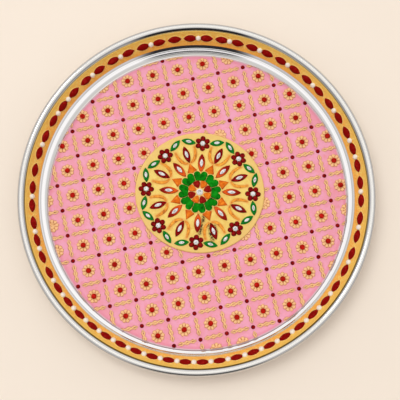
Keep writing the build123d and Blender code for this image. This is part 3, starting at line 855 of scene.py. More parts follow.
def grouped(tree, group, **inputs):
    """Places a node group with its own values."""
    return add_node(tree, "ShaderNodeGroup", {"node_tree": group}, **inputs)


CLOUD_HEIGHTS = (0.7, 1.3)


def height_roughness(tree, shader, clouds, start, end):
    """Roughness by the height of a clouded colour, from its hollows to its crests."""
    rough = eased(tree, clouds.outputs["Height"], *CLOUD_HEIGHTS, start, end)
    tree.links.new(rough, shader.inputs["Roughness"])


class Clouds(NamedTuple):
    """Colours of a clouded finish by their names, and the scales and amounts of its clouds and specks."""

    body: str
    cloud: str
    speck: str
    cloud_scale: float
    speck_scale: float
    cloud_amount: float
    speck_amount: float


CLOUDS = {
    "pink_enamel": Clouds("pink", "pink_lilac", "pink_salmon", 55.0, 260.0, 0.75, 0.55),
    "grained_gold": Clouds("band_gold", "band_amber", "plaque_bright", 300.0, 700.0, 0.9, 0.9),
    "collar_gold": Clouds("collar_gold", "band_gold", "relief_shade", 300.0, 1200.0, 0.5, 0.3),
    "plaque_yellow": Clouds("plaque", "plaque_deep", "plaque_bright", 130.0, 420.0, 0.8, 0.6),
    "dried_glue": Clouds("glue", "plaque_deep", "pearl", 90.0, 500.0, 0.4, 0.4),
}


def clouded(tree, colours, name):
    """Places the clouded colour of a finish."""
    look = CLOUDS[name]
    return grouped(
        tree,
        clouded_colour_group(),
        Body=solid(getattr(colours, look.body)),
        Cloud=solid(getattr(colours, look.cloud)),
        Speck=solid(getattr(colours, look.speck)),
        Cloud_Scale=look.cloud_scale,
        Speck_Scale=look.speck_scale,
        Cloud_Amount=look.cloud_amount,
        Speck_Amount=look.speck_amount,
    )


def radius_value(tree, where):
    """Distance of a place from the dish's axis, in metres."""
    flat = add_node(tree, "ShaderNodeVectorMath", {"operation": "MULTIPLY"}, Vector=where)
    flat.inputs[1].default_value = (1, 1, 0)
    far = add_node(tree, "ShaderNodeVectorMath", {"operation": "LENGTH"}, Vector=flat.outputs["Vector"])
    return far.outputs["Value"]


LINE_SHADE = 0.88
# Share of the steel colour left in the painted reflection lines
PAINTED_REFLECTION_SHADE = 0.15
FOOT_RADII = (0.1275, 0.1335)
FOOT_DIP = -0.35
RIPPLE = 0.07


def steel_finish(colours):
    """Polished spun steel: fine lines round the axis, a dished foot, and dark lines from a mark on the
    rolled edge, which are painted reflections.
    """
    material, tree, shader = new_material("spun_steel", Metallic=1.0)
    where = object_place(tree)
    radius = radius_value(tree, where)
    height = add_node(tree, "ShaderNodeSeparateXYZ", Vector=where).outputs["Z"]
    ring = add_node(tree, "ShaderNodeCombineXYZ", X=radius, Y=height).outputs["Vector"]
    lines = noise(tree, ring, scale=1400.0, detail=2.0)
    slow = noise(tree, where, scale=14.0, detail=2.0)
    broad = noise(tree, ring, scale=620.0, detail=1.0)
    tone = eased(tree, lines, 0.3, 0.7, 0.0, 0.3)
    spun = mixed(tree, tone, solid(colours.steel), solid(colours.steel, LINE_SHADE))
    # Painted reflection: the mark darkens the steel in thin lines on the rolled edge
    with_painted_reflections = mixed(tree, mark_value(tree, "seam"), spun, solid(colours.steel, PAINTED_REFLECTION_SHADE))
    tree.links.new(with_painted_reflections, shader.inputs["Base Color"])
    fine_rough = eased(tree, lines, 0.3, 0.7, 0.03, 0.05)
    slow_rough = eased(tree, slow, 0.35, 0.65, 0.0, 0.03)
    tree.links.new(calc(tree, "ADD", fine_rough, slow_rough), shader.inputs["Roughness"])
    ripple = calc(tree, "MULTIPLY", broad, RIPPLE)
    foot = eased(tree, radius, *FOOT_RADII, 0.0, FOOT_DIP)
    add_bump(tree, shader, calc(tree, "ADD", ripple, foot), strength=1.0, distance=0.001)
    return material


def pink_finish(colours):
    """Pink enamel: clouds of lilac and salmon, tiny pits, and painted shade: deeper rose where it climbs
    the cove and a pale greyish lip at its edge.
    """
    material, tree, shader = new_material(
        "pink_enamel", Coat_Weight=0.15, Coat_Roughness=0.25, Specular_IOR_Level=0.4
    )
    clouds = clouded(tree, colours, "pink_enamel")
    edge = mark_value(tree, "edge")
    # Painted shade: rose up the cove, then a pale greyish lip
    climb = eased(tree, edge, 0.1, 0.7, 0.0, 0.7)
    rosy = mixed(tree, climb, clouds.outputs["Color"], solid(colours.pink_edge))
    shaded_lip = mixed(tree, eased(tree, edge, 0.72, 0.97), rosy, solid(colours.pink_shaded_lip))
    tree.links.new(shaded_lip, shader.inputs["Base Color"])
    height_roughness(tree, shader, clouds, 0.38, 0.55)
    add_bump(tree, shader, clouds.outputs["Height"], strength=0.25, distance=0.0002)
    return material


def relief_finish(name, body, foot, end):
    """Piped gold paint: bright on the crown, browner at the foot and in the crevices as painted shade,
    slightly lumpy.
    """
    material, tree, shader = new_material(name, Roughness=0.45, Specular_IOR_Level=0.3)
    shade = grouped(
        tree,
        crown_shade_group(),
        Edge=solid(foot),
        Body=solid(body),
        Start=-0.05,
        End=end,
        Noise_Scale=1000.0,
        Noise_Amount=1.7,
    )
    tree.links.new(shade.outputs["Color"], shader.inputs["Base Color"])
    add_bump(tree, shader, shade.outputs["Height"], strength=0.6, distance=0.0006)
    return material


ENAMEL_GRAIN = 420.0
ENAMEL_NOISE = 0.25
ENAMEL_BUMP = (0.12, 0.00015)
# Painted glints: lighter patches of the body colour in glossy finishes
GLINT_GAIN = 1.6
GLINT_LIFT = 0.006
EDGE_DULLNESS = 0.45
BROAD_GRAIN = 300.0
STONE_SHADE = 0.8
STONE_SHADE_CROWN = (0.38, 0.54)
GLINT_PATCHES = (0.52, 0.68)
DEEP_VEINS = (0.32, 0.48)
GLINT_AND_PATCH_DEPTH = 0.7


class Gloss(NamedTuple):
    """Colours of a glossy finish by their names, and its values.

    Start and end are the crown values between which the edge, darkened as painted shade, turns into the
    body.
    The seat is how much painted shade darkens its middle, round the stone that sits there.
    """

    edge: str
    body: str
    start: float
    end: float
    roughness: float
    shine: float
    grain: float = ENAMEL_GRAIN
    seat: float = 0.0


GLOSSES = {
    "maroon_bead": Gloss("maroon_deep", "dot", -0.1, 0.3, 0.15, 0.05),
    "red_bead": Gloss("red_dark", "red_bead", -0.1, 0.3, 0.15, 0.06),
    "maroon_stone": Gloss("maroon", "maroon", -0.05, 0.2, 0.08, 0.03),
    "green_enamel": Gloss("green_deep", "green", -0.05, 0.12, 0.12, 0.03, BROAD_GRAIN),
    "red_enamel": Gloss("maroon", "red", 0.0, 0.3, 0.12, 0.04),
    "orange_enamel": Gloss("orange_deep", "orange", 0.0, 0.3, 0.12, 0.04),
    "orange_point": Gloss("orange_deep", "orange", -0.05, 0.6, 0.2, 0.05, BROAD_GRAIN),
    "maroon_enamel": Gloss("maroon_deep", "dot", -0.05, 0.12, 0.12, 0.03, seat=STONE_SHADE),
    "orange_brush": Gloss("stroke_line", "stroke", 0.05, 0.7, 0.35, 0.15),
    "petal_enamel": Gloss("petal", "dot", 0.0, 0.4, 0.12, 0.04),
    "leaf_enamel": Gloss("leaf_deep", "leaf", -0.05, 0.14, 0.12, 0.03, seat=STONE_SHADE),
}


def stone_shade_value(tree, seat):
    """How dark a raised form is round the stone in its middle, by its mark crown: painted shade of the
    stone.
    """
    return eased(tree, mark_value(tree, "crown"), *STONE_SHADE_CROWN, 0.0, seat)


def gloss_finish(name, colours):
    """Glossy enamel, bead or stone: darker at its edge as painted shade, with deep veins and bright
    patches of painted glint in its body.
    """
    look = GLOSSES[name]
    edge = getattr(colours, look.edge)
    body = getattr(colours, look.body)
    material, tree, shader = new_material(
        name, Coat_Weight=0.3 * look.shine, Coat_Roughness=0.05, Specular_IOR_Level=look.shine
    )
    shade = grouped(
        tree,
        crown_shade_group(),
        Edge=solid(edge),
        Body=solid(body),
        Start=look.start,
        End=look.end,
        Noise_Scale=look.grain,
        Noise_Amount=ENAMEL_NOISE,
    )
    height = shade.outputs["Height"]
    mask = shade.outputs["Mask"]
    glint_colour = tuple(min(1.0, GLINT_GAIN * value + GLINT_LIFT) for value in body)
    glint = calc(tree, "MULTIPLY", eased(tree, height, *GLINT_PATCHES, 0.0, GLINT_AND_PATCH_DEPTH), mask)
    bright = mixed(tree, glint, shade.outputs["Color"], solid(glint_colour))
    deep = eased(tree, height, *DEEP_VEINS, GLINT_AND_PATCH_DEPTH, 0.0)
    dark = calc(tree, "MAXIMUM", deep, stone_shade_value(tree, look.seat))
    tree.links.new(mixed(tree, dark, bright, solid(edge)), shader.inputs["Base Color"])
    smooth = eased(tree, height, 0.3, 0.7, look.roughness, look.roughness + 0.1)
    dull = calc(tree, "SUBTRACT", EDGE_DULLNESS, calc(tree, "MULTIPLY", mask, EDGE_DULLNESS))
    tree.links.new(calc(tree, "ADD", smooth, dull), shader.inputs["Roughness"])
    add_bump(tree, shader, height, *ENAMEL_BUMP)
    return material


def gradient_finish(name, edge, inner, outer):
    """Enamel that runs from one colour at its inner end to another at its outer tip, dark at the edge and
    round its stone as painted shade.
    """
    material, tree, shader = new_material(
        name, Coat_Weight=0.02, Coat_Roughness=0.06, Specular_IOR_Level=0.04
    )
    along = eased(tree, mark_value(tree, "along"), 0.2, 0.85)
    shade = grouped(
        tree,
        crown_shade_group(),
        Edge=solid(edge),
        Body=mixed(tree, along, solid(inner), solid(outer)),
        Start=-0.06,
        End=0.16,
        Noise_Scale=ENAMEL_GRAIN,
        Noise_Amount=ENAMEL_NOISE,
    )
    dark = mixed(tree, stone_shade_value(tree, STONE_SHADE), shade.outputs["Color"], solid(edge))
    tree.links.new(dark, shader.inputs["Base Color"])
    rough = eased(tree, shade.outputs["Height"], 0.3, 0.7, 0.18, 0.3)
    tree.links.new(rough, shader.inputs["Roughness"])
    add_bump(tree, shader, shade.outputs["Height"], *ENAMEL_BUMP)
    return material


AMBER_RADII = (0.1335, 0.1375)
OLIVE_RADII = (0.1385, 0.1425)


def band_finish(colours):
    """Grainy gold band: olive on its outer side, amber on its inner side, with pale grains."""
    material, tree, shader = new_material("grained_gold", Metallic=0.1, Specular_IOR_Level=0.3)
    radius = radius_value(tree, object_place(tree))
    grains = clouded(tree, colours, "grained_gold")
    low = eased(tree, radius, *AMBER_RADII, 0.75, 0.0)
    high = eased(tree, radius, *OLIVE_RADII, 0.0, 0.8)
    inner = mixed(tree, low, grains.outputs["Color"], solid(colours.band_amber))
    outer = mixed(tree, high, inner, solid(colours.band_olive))
    tree.links.new(outer, shader.inputs["Base Color"])
    height_roughness(tree, shader, grains, 0.5, 0.32)
    add_bump(tree, shader, grains.outputs["Height"], strength=0.8, distance=0.0006)
    return material


def metal_gold_finish(name, colours, roughness):
    """Bright gold of collars and outlines, with a worn, slightly darker grain."""
    material, tree, shader = new_material(name, Metallic=0.1, Specular_IOR_Level=0.3)
    grains = clouded(tree, colours, "collar_gold")
    tree.links.new(grains.outputs["Color"], shader.inputs["Base Color"])
    height_roughness(tree, shader, grains, roughness, roughness + 0.15)
    add_bump(tree, shader, grains.outputs["Height"], strength=0.3, distance=0.0002)
    return material


def pearl_finish(colours):
    """Pearl lustre: pale, a slightly greyer crown, a clear coat; the paler edge is a painted sheen."""
    material, tree, shader = new_material(
        "pearl_lustre", Roughness=0.28, Coat_Weight=0.25, Coat_Roughness=0.1
    )
    shade = grouped(
        tree,
        crown_shade_group(),
        Edge=solid(colours.pearl),
        Body=solid(colours.pearl_grey),
        Start=0.4,
        End=1.1,
        Noise_Scale=350.0,
        Noise_Amount=0.4,
    )
    tree.links.new(shade.outputs["Color"], shader.inputs["Base Color"])
    add_bump(tree, shader, shade.outputs["Height"], strength=0.08, distance=0.0001)
    return material


def white_stone_finish(colours):
    """Cut white stones: a clear bright ground, with a grey streak that lies on the crown as a painted
    reflection.
    """
    material, tree, shader = new_material(
        "white_cut_stone", Coat_Weight=0.3, Coat_Roughness=0.03, Specular_IOR_Level=0.3
    )
    streak = noise(tree, object_place(tree), scale=620.0, detail=2.0, roughness=0.6)
    crown = eased(tree, mark_value(tree, "crown"), 0.2, 0.6)
    # Painted reflection on the crown
    painted_reflection_spot = calc(tree, "MULTIPLY", crown, eased(tree, streak, 0.42, 0.6, 0.0, 0.85))
    reflected = mixed(tree, painted_reflection_spot, solid(colours.stone), solid(colours.stone_reflection_grey))
    tree.links.new(reflected, shader.inputs["Base Color"])
    tree.links.new(eased(tree, streak, 0.3, 0.7, 0.08, 0.2), shader.inputs["Roughness"])
    add_bump(tree, shader, streak, strength=0.1, distance=0.0001)
    return material


def plaque_finish(colours):
    """Yellow ground: mottled, with a paler border, brushed orange and brown marks, by its marks; the brown
    is partly smudges and partly painted shadow beside a cell.
    """
    material, tree, shader = new_material(
        "plaque_yellow", Coat_Weight=0.05, Coat_Roughness=0.2, Specular_IOR_Level=0.15
    )
    ground = clouded(tree, colours, "plaque_yellow")
    framed = mixed(tree, mark_value(tree, "border"), ground.outputs["Color"], solid(colours.plaque_pale))
    brushed = mixed(tree, mark_value(tree, "glow"), framed, solid(colours.orange))
    patches = noise(tree, object_place(tree), scale=800.0, detail=2.0)
    broken = eased(tree, patches, 0.36, 0.54, 0.25, 1.0)
    # Brown marks: smudges and a painted shadow beside a cell, broken up by noise
    smudge = calc(tree, "MULTIPLY", mark_value(tree, "smudge"), broken, True)
    tree.links.new(mixed(tree, smudge, brushed, solid(colours.smudge)), shader.inputs["Base Color"])
    height_roughness(tree, shader, ground, 0.35, 0.5)
    add_bump(tree, shader, ground.outputs["Height"], strength=0.3, distance=0.0003)
    return material


def glue_finish(colours):
    """Dried glue film: pale amber, cloudy, slightly shiny."""
    material, tree, shader = new_material("dried_glue")
    clouds = clouded(tree, colours, "dried_glue")
    tree.links.new(clouds.outputs["Color"], shader.inputs["Base Color"])
    height_roughness(tree, shader, clouds, 0.3, 0.5)
    add_bump(tree, shader, clouds.outputs["Height"], strength=0.3, distance=0.0002)
    return material


PAPER_RINGS = (30.0, 2.0, 0.4, 0.02)
PAPER_COLUMNS = 96
PAPER_LEVEL = -0.0003
PAPER_GAIN = 1.02
CAMERA_PLACE = (0.011453, -0.117488, 0.67566)
CAMERA_TURN = (9.646, 0.715, 0.0)
LAMP_COLOUR = (0.94, 0.98, 1.0)
# Name, width, energy and place of each lamp, and whether polished pieces mirror it
LAMPS = (
    ("soft_key", 1.9, 21.2, (-0.85, 0.8, 2.6), False),
    ("small_spark", 0.3, 1.0, (-0.5, 0.6, 1.7), True),
)
# Elevation in degrees and brightness of the room, which leans to the back
ROOM_LEAN = 10
ROOM_STOPS = (
    (0, 0.45), (7, 0.55), (13, 0.8), (17, 1.3), (24, 1.3), (30, 0.88), (44, 0.8), (50, 1.2),
    (59, 1.2), (63.5, 0.42), (67.5, 0.42), (71, 1.55), (80, 1.55), (85, 1.0), (90, 1.0),
)
ROOM_STRENGTH = 0.83
# Elevation in degrees and depth of the dark screen at the front, which the steel mirrors
SCREEN_STOPS = (
    (0, 0.98), (25, 0.98), (26.5, 0.15), (29, 0.15), (30.5, 0.98), (38.5, 0.98), (41, 0.08),
    (43, 0.08), (44.5, 0.9), (48, 0.9), (50.5, 0.15), (60, 0.1), (66, 0),
)
SCREEN_COLOUR = (0.01, 0.01, 0.012, 1)
SCREEN_EDGE = (-0.93, -0.85)
SCREEN_NARROWING = 0.07
# Green and blue beside red, above and below an elevation in degrees
TINT_BREAK = 40
HIGH_TINT = (0.975, 0.935)
LOW_TINT = (0.98, 0.99)


def room_shades(tree, rise, stops):
    """Grey by elevation: pairs of an elevation in degrees and a brightness, slightly tinted."""
    ramp = tree.nodes.new("ShaderNodeValToRGB")
    tree.links.new(calc(tree, "MULTIPLY", rise, 2 / math.pi, True), ramp.inputs["Fac"])
    elements = ramp.color_ramp.elements
    while len(elements) < len(stops):
        elements.new(1.0)
    for element, (degrees, grey) in zip(elements, stops):
        element.position = degrees / 90
        green, blue = HIGH_TINT if degrees > TINT_BREAK else LOW_TINT
        element.color = (grey, green * grey, blue * grey, 1)
    return ramp.outputs["Color"]


def lay_paper(scene):
    """Lays the paper floor: flat rings about the axis, closed by a fan in the middle."""
    profile = np.array([[radius, PAPER_LEVEL] for radius in PAPER_RINGS])
    rings = turned(profile, PAPER_COLUMNS)
    inner = np.arange(PAPER_COLUMNS) + (len(rings) - 1) * PAPER_COLUMNS
    hub = np.full(PAPER_COLUMNS, len(rings) * PAPER_COLUMNS)
    fan = np.stack([inner, np.roll(inner, -1), hub], axis=-1)
    points = np.concatenate([rings.reshape(-1, 3), [[0, 0, PAPER_LEVEL]]])
    mesh = bpy.data.meshes.new("studio_floor")
    faces = ring_quads(len(rings), PAPER_COLUMNS).tolist() + fan.tolist()
    mesh.from_pydata(points.tolist(), [], faces)
    floor = bpy.data.objects.new("studio_floor", mesh)
    scene.collection.objects.link(floor)
    material, tree, shader = new_material("studio_paper", Roughness=0.9, Specular_IOR_Level=0.1)
    backdrop = scene.thali_colours.backdrop
    paler = tuple(min(1.0, value * PAPER_GAIN) for value in backdrop)
    fibre = noise(tree, object_place(tree), scale=30.0, detail=2.0)
    tree.links.new(mixed(tree, fibre, solid(backdrop), solid(paler)), shader.inputs["Base Color"])
    mesh.materials.append(material)


def set_camera(scene):
    """Sets the camera almost straight above the dish, a little to the front."""
    lens = bpy.data.cameras.new("photo_camera")
    lens.lens = 72.0
    lens.sensor_width = 36.0
    camera = bpy.data.objects.new("photo_camera", lens)
    camera.location = CAMERA_PLACE
    camera.rotation_euler = [math.radians(degrees) for degrees in CAMERA_TURN]
    scene.collection.objects.link(camera)
    scene.camera = camera


def hang_lamps(scene):
    """Hangs the round lamps, each facing the dish."""
    for name, width, energy, place, mirrored in LAMPS:
        light = bpy.data.lights.new(name, "AREA")
        light.shape = "DISK"
        light.size = width
        light.energy = energy
        light.color = LAMP_COLOUR
        lamp = bpy.data.objects.new(name, light)
        lamp.location = place
        lamp.visible_glossy = mirrored
        lamp.rotation_euler = (-Vector(place)).to_track_quat("-Z", "Y").to_euler()
        scene.collection.objects.link(lamp)


def light_room(scene):
    """Lights the room: greys by elevation, with a dark screen at the front that narrows upwards."""
    world = bpy.data.worlds.new("studio_world")
    world.use_nodes = True
    scene.world = world
    tree = world.node_tree
    shader = tree.nodes["Background"]
    way = tree.nodes.new("ShaderNodeTexCoord").outputs["Generated"]
    parts = add_node(tree, "ShaderNodeSeparateXYZ", Vector=way)
    x, y, z = (parts.outputs[axis] for axis in "XYZ")
    lean = math.radians(ROOM_LEAN)
    back = calc(tree, "MULTIPLY", y, math.sin(lean))
    leaning = calc(tree, "ADD", back, calc(tree, "MULTIPLY", z, math.cos(lean)))
    room = room_shades(tree, calc(tree, "ARCSINE", leaning), ROOM_STOPS)
    screen = room_shades(tree, calc(tree, "ARCSINE", z), SCREEN_STOPS)
    flat = calc(tree, "ADD", calc(tree, "POWER", x, 2.0), calc(tree, "POWER", y, 2.0))
    level = calc(tree, "SQRT", calc(tree, "ADD", flat, 0.0001))
    heading = calc(tree, "DIVIDE", y, level)
    narrowed = calc(tree, "ADD", heading, calc(tree, "MULTIPLY", z, SCREEN_NARROWING))
    front = eased(tree, narrowed, *SCREEN_EDGE, 1.0, 0.0)
    shade = calc(tree, "MULTIPLY", front, screen)
    tree.links.new(mixed(tree, shade, room, SCREEN_COLOUR), shader.inputs["Color"])
    shader.inputs["Strength"].default_value = ROOM_STRENGTH


class THALI_OT_stage(bpy.types.Operator):
    """Makes the pale floor, the camera and the soft studio light."""

    bl_idname = "thali.stage"
    bl_label = "Studio"

    def execute(self, context):
        scene = context.scene
        lay_paper(scene)
        set_camera(scene)
        hang_lamps(scene)
        light_room(scene)
        scene.view_settings.view_transform = "Standard"
        return {"FINISHED"}


DISH_COLUMNS = 600
POLE_RADIUS = 4 * MM
# Angle on the rolled edge in degrees, width and depth of its dark lines, which are painted reflections
EDGE_REFLECTION_LINES = ((38, 8, 0.8), (62, 6, 0.8), (134, 9, 0.85))


class THALI_OT_dish(bpy.types.Operator):
    """Turns the steel dish with its cove, sloping wall and rolled hollow edge."""

    bl_idname = "thali.dish"
    bl_label = "Steel dish"

    def execute(self, context):
        scene = context.scene
        dish = scene.thali_dish
        marks = dish_points(dish)
        slope = math.degrees(dish.wall_angle)
        floor = marks["floor_radius"]
        start = 90 + slope
        inner = dish.bead_radius - dish.sheet
        end = start - 360 + math.degrees(math.acos((inner - dish.bead_slit) / dish.bead_radius))
        outer_cove = arc(marks["cove"], dish.cove_radius + dish.sheet, -90, slope - 90, 10)
        inner_bead = arc(marks["bead"], inner, start, end, 16)
        outer_bead = arc(marks["bead"], dish.bead_radius, end, start, 84)
        inner_cove = arc(marks["cove"], dish.cove_radius, slope - 90, -90, 24)
        hidden = np.concatenate(
            [
                line((POLE_RADIUS, 0), (floor, 0), 4)[:-1],
                outer_cove,
                line(outer_cove[-1], inner_bead[0], 4)[1:-1],
                inner_bead,
            ]
        )
        seen = np.concatenate(
            [
                line(outer_bead[-1], inner_cove[0], 12)[1:-1],
                inner_cove,
                line((floor, dish.sheet), (POLE_RADIUS, dish.sheet), 8)[1:],
            ]
        )
        turn = np.linspace(end, start, len(outer_bead))
        dull = sum(depth * np.exp(-(((turn - place) / width) ** 2)) for place, width, depth in EDGE_REFLECTION_LINES)
        seam = np.concatenate([np.zeros(len(hidden)), dull, np.zeros(len(seen))])
        rings = turned(np.concatenate([hidden, outer_bead, seen]), DISH_COLUMNS)
        shape = capped(rings, {"seam": np.repeat(seam[:, None], DISH_COLUMNS, axis=1)})
        finish = steel_finish(scene.thali_colours)
        make_piece("steel_dish", shape, finish, ["thali_plate"])
        return {"FINISHED"}


LINING_COLUMNS = 256
ROSE_WIDTH = 5 * MM


class THALI_OT_lining(bpy.types.Operator):
    """Turns the pink lining, which climbs the foot of the cove and ends in a rounded edge."""

    bl_idname = "thali.lining"
    bl_label = "Pink lining"

    def execute(self, context):
        scene = context.scene
        dish = scene.thali_dish
        marks = dish_points(dish)
        floor = marks["floor_radius"]
        centre = marks["cove"][1]
        turn = full_turn(LINING_COLUMNS)
        under = dish.cove_radius - dish.lining_gap
        over = lining_bow(dish)
        curl = np.arcsin((lining_edge(dish, turn) - floor) / over)
        share = np.linspace(0, 1, 14)[:, None]
        climb = share * curl
        lip = np.linspace(0, np.pi, 7)[1:-1, None]
        half = dish.lining / 2
        lip_out = (under + over) / 2 + half * np.cos(lip)
        lip_on = half * np.sin(lip)
        inner = np.linspace(POLE_RADIUS, floor, 10)[:-1, None] * np.ones((1, LINING_COLUMNS))
        radius = np.concatenate(
            [
                inner,
                floor + under * np.sin(climb),
                floor + lip_out * np.sin(curl) + lip_on * np.cos(curl),
                floor + over * np.sin(climb[::-1]),
                inner[::-1],
            ]
        )
        height = np.concatenate(
            [
                0 * inner + dish.lining_top - dish.lining,
                centre - under * np.cos(climb),
                centre - lip_out * np.cos(curl) + lip_on * np.sin(curl),
                centre - over * np.cos(climb[::-1]),
                0 * inner + dish.lining_top,
            ]
        )
        near = 1 - (1 - share) * curl * over / ROSE_WIDTH
        lip_edge = np.ones((len(lip), LINING_COLUMNS))
        edge = np.concatenate([0 * inner, near, lip_edge, near[::-1], 0 * inner])
        shape = capped(round_axis(radius, turn, height), {"edge": np.clip(edge, 0, 1)})
        finish = pink_finish(scene.thali_colours)
        make_piece("pink_lining", shape, finish, ["floor_lining"])
        return {"FINISHED"}


LINK_STATIONS = 13
LINK_HALF_TURNS = 3
CORD_SIDES = 5
# Least share of a copy that has to lie in the field, for each kind of relief
LEAST_OF_LINK = 0.12
LEAST_OF_CROSSING = 0.7
LEAST_OF_FLOWER = 0.15
LEAST_OF_RED_BEAD = 0.85


def twisted_link(lattice, pitch):
    """A link of two cords at y = +-spread sin(3 pi t): lumpy, thicker in the eyes, thin at the ends."""
    reach = pitch - 2 * (lattice.dot_radius + lattice.link_gap)
    share = np.linspace(0, 1, LINK_STATIONS)
    phase = LINK_HALF_TURNS * np.pi * share
    swing = lattice.link_spread * np.sin(phase)
    taper = tapered(share, 0.3)
    eye = np.abs(np.sin(phase))
    lump = np.cos(np.pi * np.arange(LINK_STATIONS))
    width = lattice.cord_radius * taper * (0.85 + 0.15 * eye) * (1 + 0.16 * lump)
    rise = lattice.cord_height * taper * (1 + 0.22 * lump)
    wave = 0.12 * np.cos(phase)
    cords = []
    for side in (1, -1):
        path = np.stack([(share - 0.5) * reach, side * swing, 0 * share], axis=-1)
        cords.append(swept(path, width, rise * (0.88 + side * wave), CORD_SIDES))
    return joined(*cords)


class THALI_OT_links(bpy.types.Operator):
    """Pipes the gold links of the lattice: two thick cords twisted round each other."""

    bl_idname = "thali.links"
    bl_label = "Gold links"

    def execute(self, context):
        scene = context.scene
        lattice = scene.thali_lattice
        colours = scene.thali_colours
        dish = scene.thali_dish
        shapes = []
        for pitch, along, across, turn in (
            (lattice.pitch_along, 0.5, 0.0, 0.0),
            (lattice.pitch_across, 0.0, 0.5, math.pi / 2),
        ):
            link = twisted_link(lattice, pitch)
            points = laid(link.points, lattice_places(lattice, dish, along, across, turn))
            shapes.append(trimmed(link, points, dish, scene.thali_medallion, LEAST_OF_LINK))
        finish = relief_finish("piped_gold", colours.relief_gold, colours.relief_shade, 0.85)
        make_piece("gold_links", joined(*shapes), finish, ["lattice_links"])
        return {"FINISHED"}


class THALI_OT_crossings(bpy.types.Operator):
    """Sets the maroon half beads at the crossings of the lattice."""

    bl_idname = "thali.crossings"
    bl_label = "Crossing beads"

    def execute(self, context):
        scene = context.scene
        lattice = scene.thali_lattice
        colours = scene.thali_colours
        dish = scene.thali_dish
        outline = oval(lattice.dot_radius, lattice.dot_radius, 12)
        bead = dome(outline, *bead_profile(lattice.dot_height, 5))
        points = laid(bead.points, lattice_places(lattice, dish, 0.0, 0.0, 0.0))
        shape = trimmed(bead, points, dish, scene.thali_medallion, LEAST_OF_CROSSING)
        finish = gloss_finish("maroon_bead", colours)
        make_piece("crossing_beads", shape, finish, ["lattice_dots"])
        return {"FINISHED"}


PETAL_START = 0.34
PETAL_WAIST = 0.72
PETAL_OVERLAP = 1.08
DISC_SHARE = 0.52
BEAD_SEAT = 0.95


def floor_flower(lattice):
    """Teardrop petals in a ring, side by side, round a low disc that carries the bead."""
    inner = PETAL_START * lattice.flower_radius
    length = lattice.flower_radius - inner
    width = PETAL_OVERLAP * 2 * math.pi * PETAL_WAIST * lattice.flower_radius / lattice.petals
    rise = np.array([0, 0.45, 0.85, 1]) * lattice.petal_height
    petal = dome(teardrop(length, width, 8), [1, 0.88, 0.6, 0.25], rise)
    disc_radius = DISC_SHARE * lattice.flower_radius
    rise = np.array([0, 0.5, 0.85, 0.98]) * lattice.petal_height
    disc = dome(oval(disc_radius, disc_radius, 12), [1, 0.98, 0.88, 0.7], rise)
    return joined(copies(petal, petal_ring(lattice.petals, inner + length / 2)), disc)


class THALI_OT_flowers(bpy.types.Operator):
    """Pipes the gold flowers in the cells and sets a red bead in each."""

    bl_idname = "thali.flowers"
    bl_label = "Floor flowers"

    def execute(self, context):
        scene = context.scene
        lattice = scene.thali_lattice
        medallion = scene.thali_medallion
        colours = scene.thali_colours
        dish = scene.thali_dish
        places = lattice_places(lattice, dish, 0.5, 0.5, 0.0)
        flower = floor_flower(lattice)
        shape = trimmed(flower, laid(flower.points, places), dish, medallion, LEAST_OF_FLOWER)
        finish = relief_finish("petal_gold", colours.relief_gold, colours.relief_petal_shade, 0.4)
        make_piece("gold_flowers", shape, finish, ["floor_flowers"])

        outline = oval(lattice.heart_radius, lattice.heart_radius, 14)
        bead = dome(outline, *bead_profile(lattice.heart_height, 5))
        raised = places + np.array([0, 0, BEAD_SEAT * lattice.petal_height, 0])
        shape = trimmed(bead, laid(bead.points, raised), dish, medallion, LEAST_OF_RED_BEAD)
        finish = gloss_finish("red_bead", colours)
        make_piece("red_beads", shape, finish, ["floor_flower_dots"])
        return {"FINISHED"}


BAND_COLUMNS = 360


class THALI_OT_band(bpy.types.Operator):
    """Lays the grained gold band on the wall, with a rounded face and two fine ridges at its edges."""

    bl_idname = "thali.band"
    bl_label = "Gold band"

    def execute(self, context):
        scene = context.scene
        rim = scene.thali_rim
        across = np.array([1, 1, 0.985, 0.965, 0.945, 0.9, 0.5, 0.1, 0.055, 0.035, 0.015, 0, 0])
        rise = np.array([0, 0.5, 0.85, 1, 0.85, 0.8, 1, 0.8, 0.85, 1, 0.85, 0.5, 0])
        turn = full_turn(BAND_COLUMNS)
        down = (rim.band_drop + rim.band_width * across[::-1])[:, None] - band_lift(rim, turn)
        out = (rim.band_back + (rim.band_face - rim.band_back) * rise)[:, None]
        radius, height = on_wall(scene.thali_dish, down, out)
        shape = looped(round_axis(radius, turn, height))
        make_piece("gold_band", shape, band_finish(scene.thali_colours), ["rim_band"])
        return {"FINISHED"}


COLLAR_OVERLAP = 0.04 * MM
COLLAR_POINTS = 28


def rim_foot(rim):
    """Level of the feet of stones, collars and pearls, which are sunk into the band's face."""
    return -2 * rim.seat


def rim_stone(rim):
    """A marquise stone: shrinking outlines from its sunk foot to its flat crown."""
    shares = [1, 1, 0.9, 0.76, 0.58, 0.38, 0.18]
    rise = np.array([0.05, 0.25, 0.47, 0.66, 0.8, 0.85]) * rim.stone_height
    heights = np.concatenate([[rim_foot(rim)], rise])
    return dome(marquise(rim.stone_length, rim.stone_width, 20), shares, heights)


def rim_collar(rim):
    """A collar round a stone: a hoop of marquise outlines, up its outer side and down its inner side."""
    widths = np.array([rim.collar, rim.collar, rim.collar / 2, 0, 0]) - COLLAR_OVERLAP
    rise = np.array([0.05, 0.22, 0.12]) * rim.collar_height
    levels = np.concatenate([[rim_foot(rim)], rise, [rim_foot(rim)]])
    hoops = []
    for width, level in zip(widths, levels):
        outline = marquise(rim.stone_length + 2 * width, rim.stone_width + 2 * width, COLLAR_POINTS)
        hoops.append(np.concatenate([outline, np.full((COLLAR_POINTS, 1), level)], axis=-1))
    return looped(np.stack(hoops))


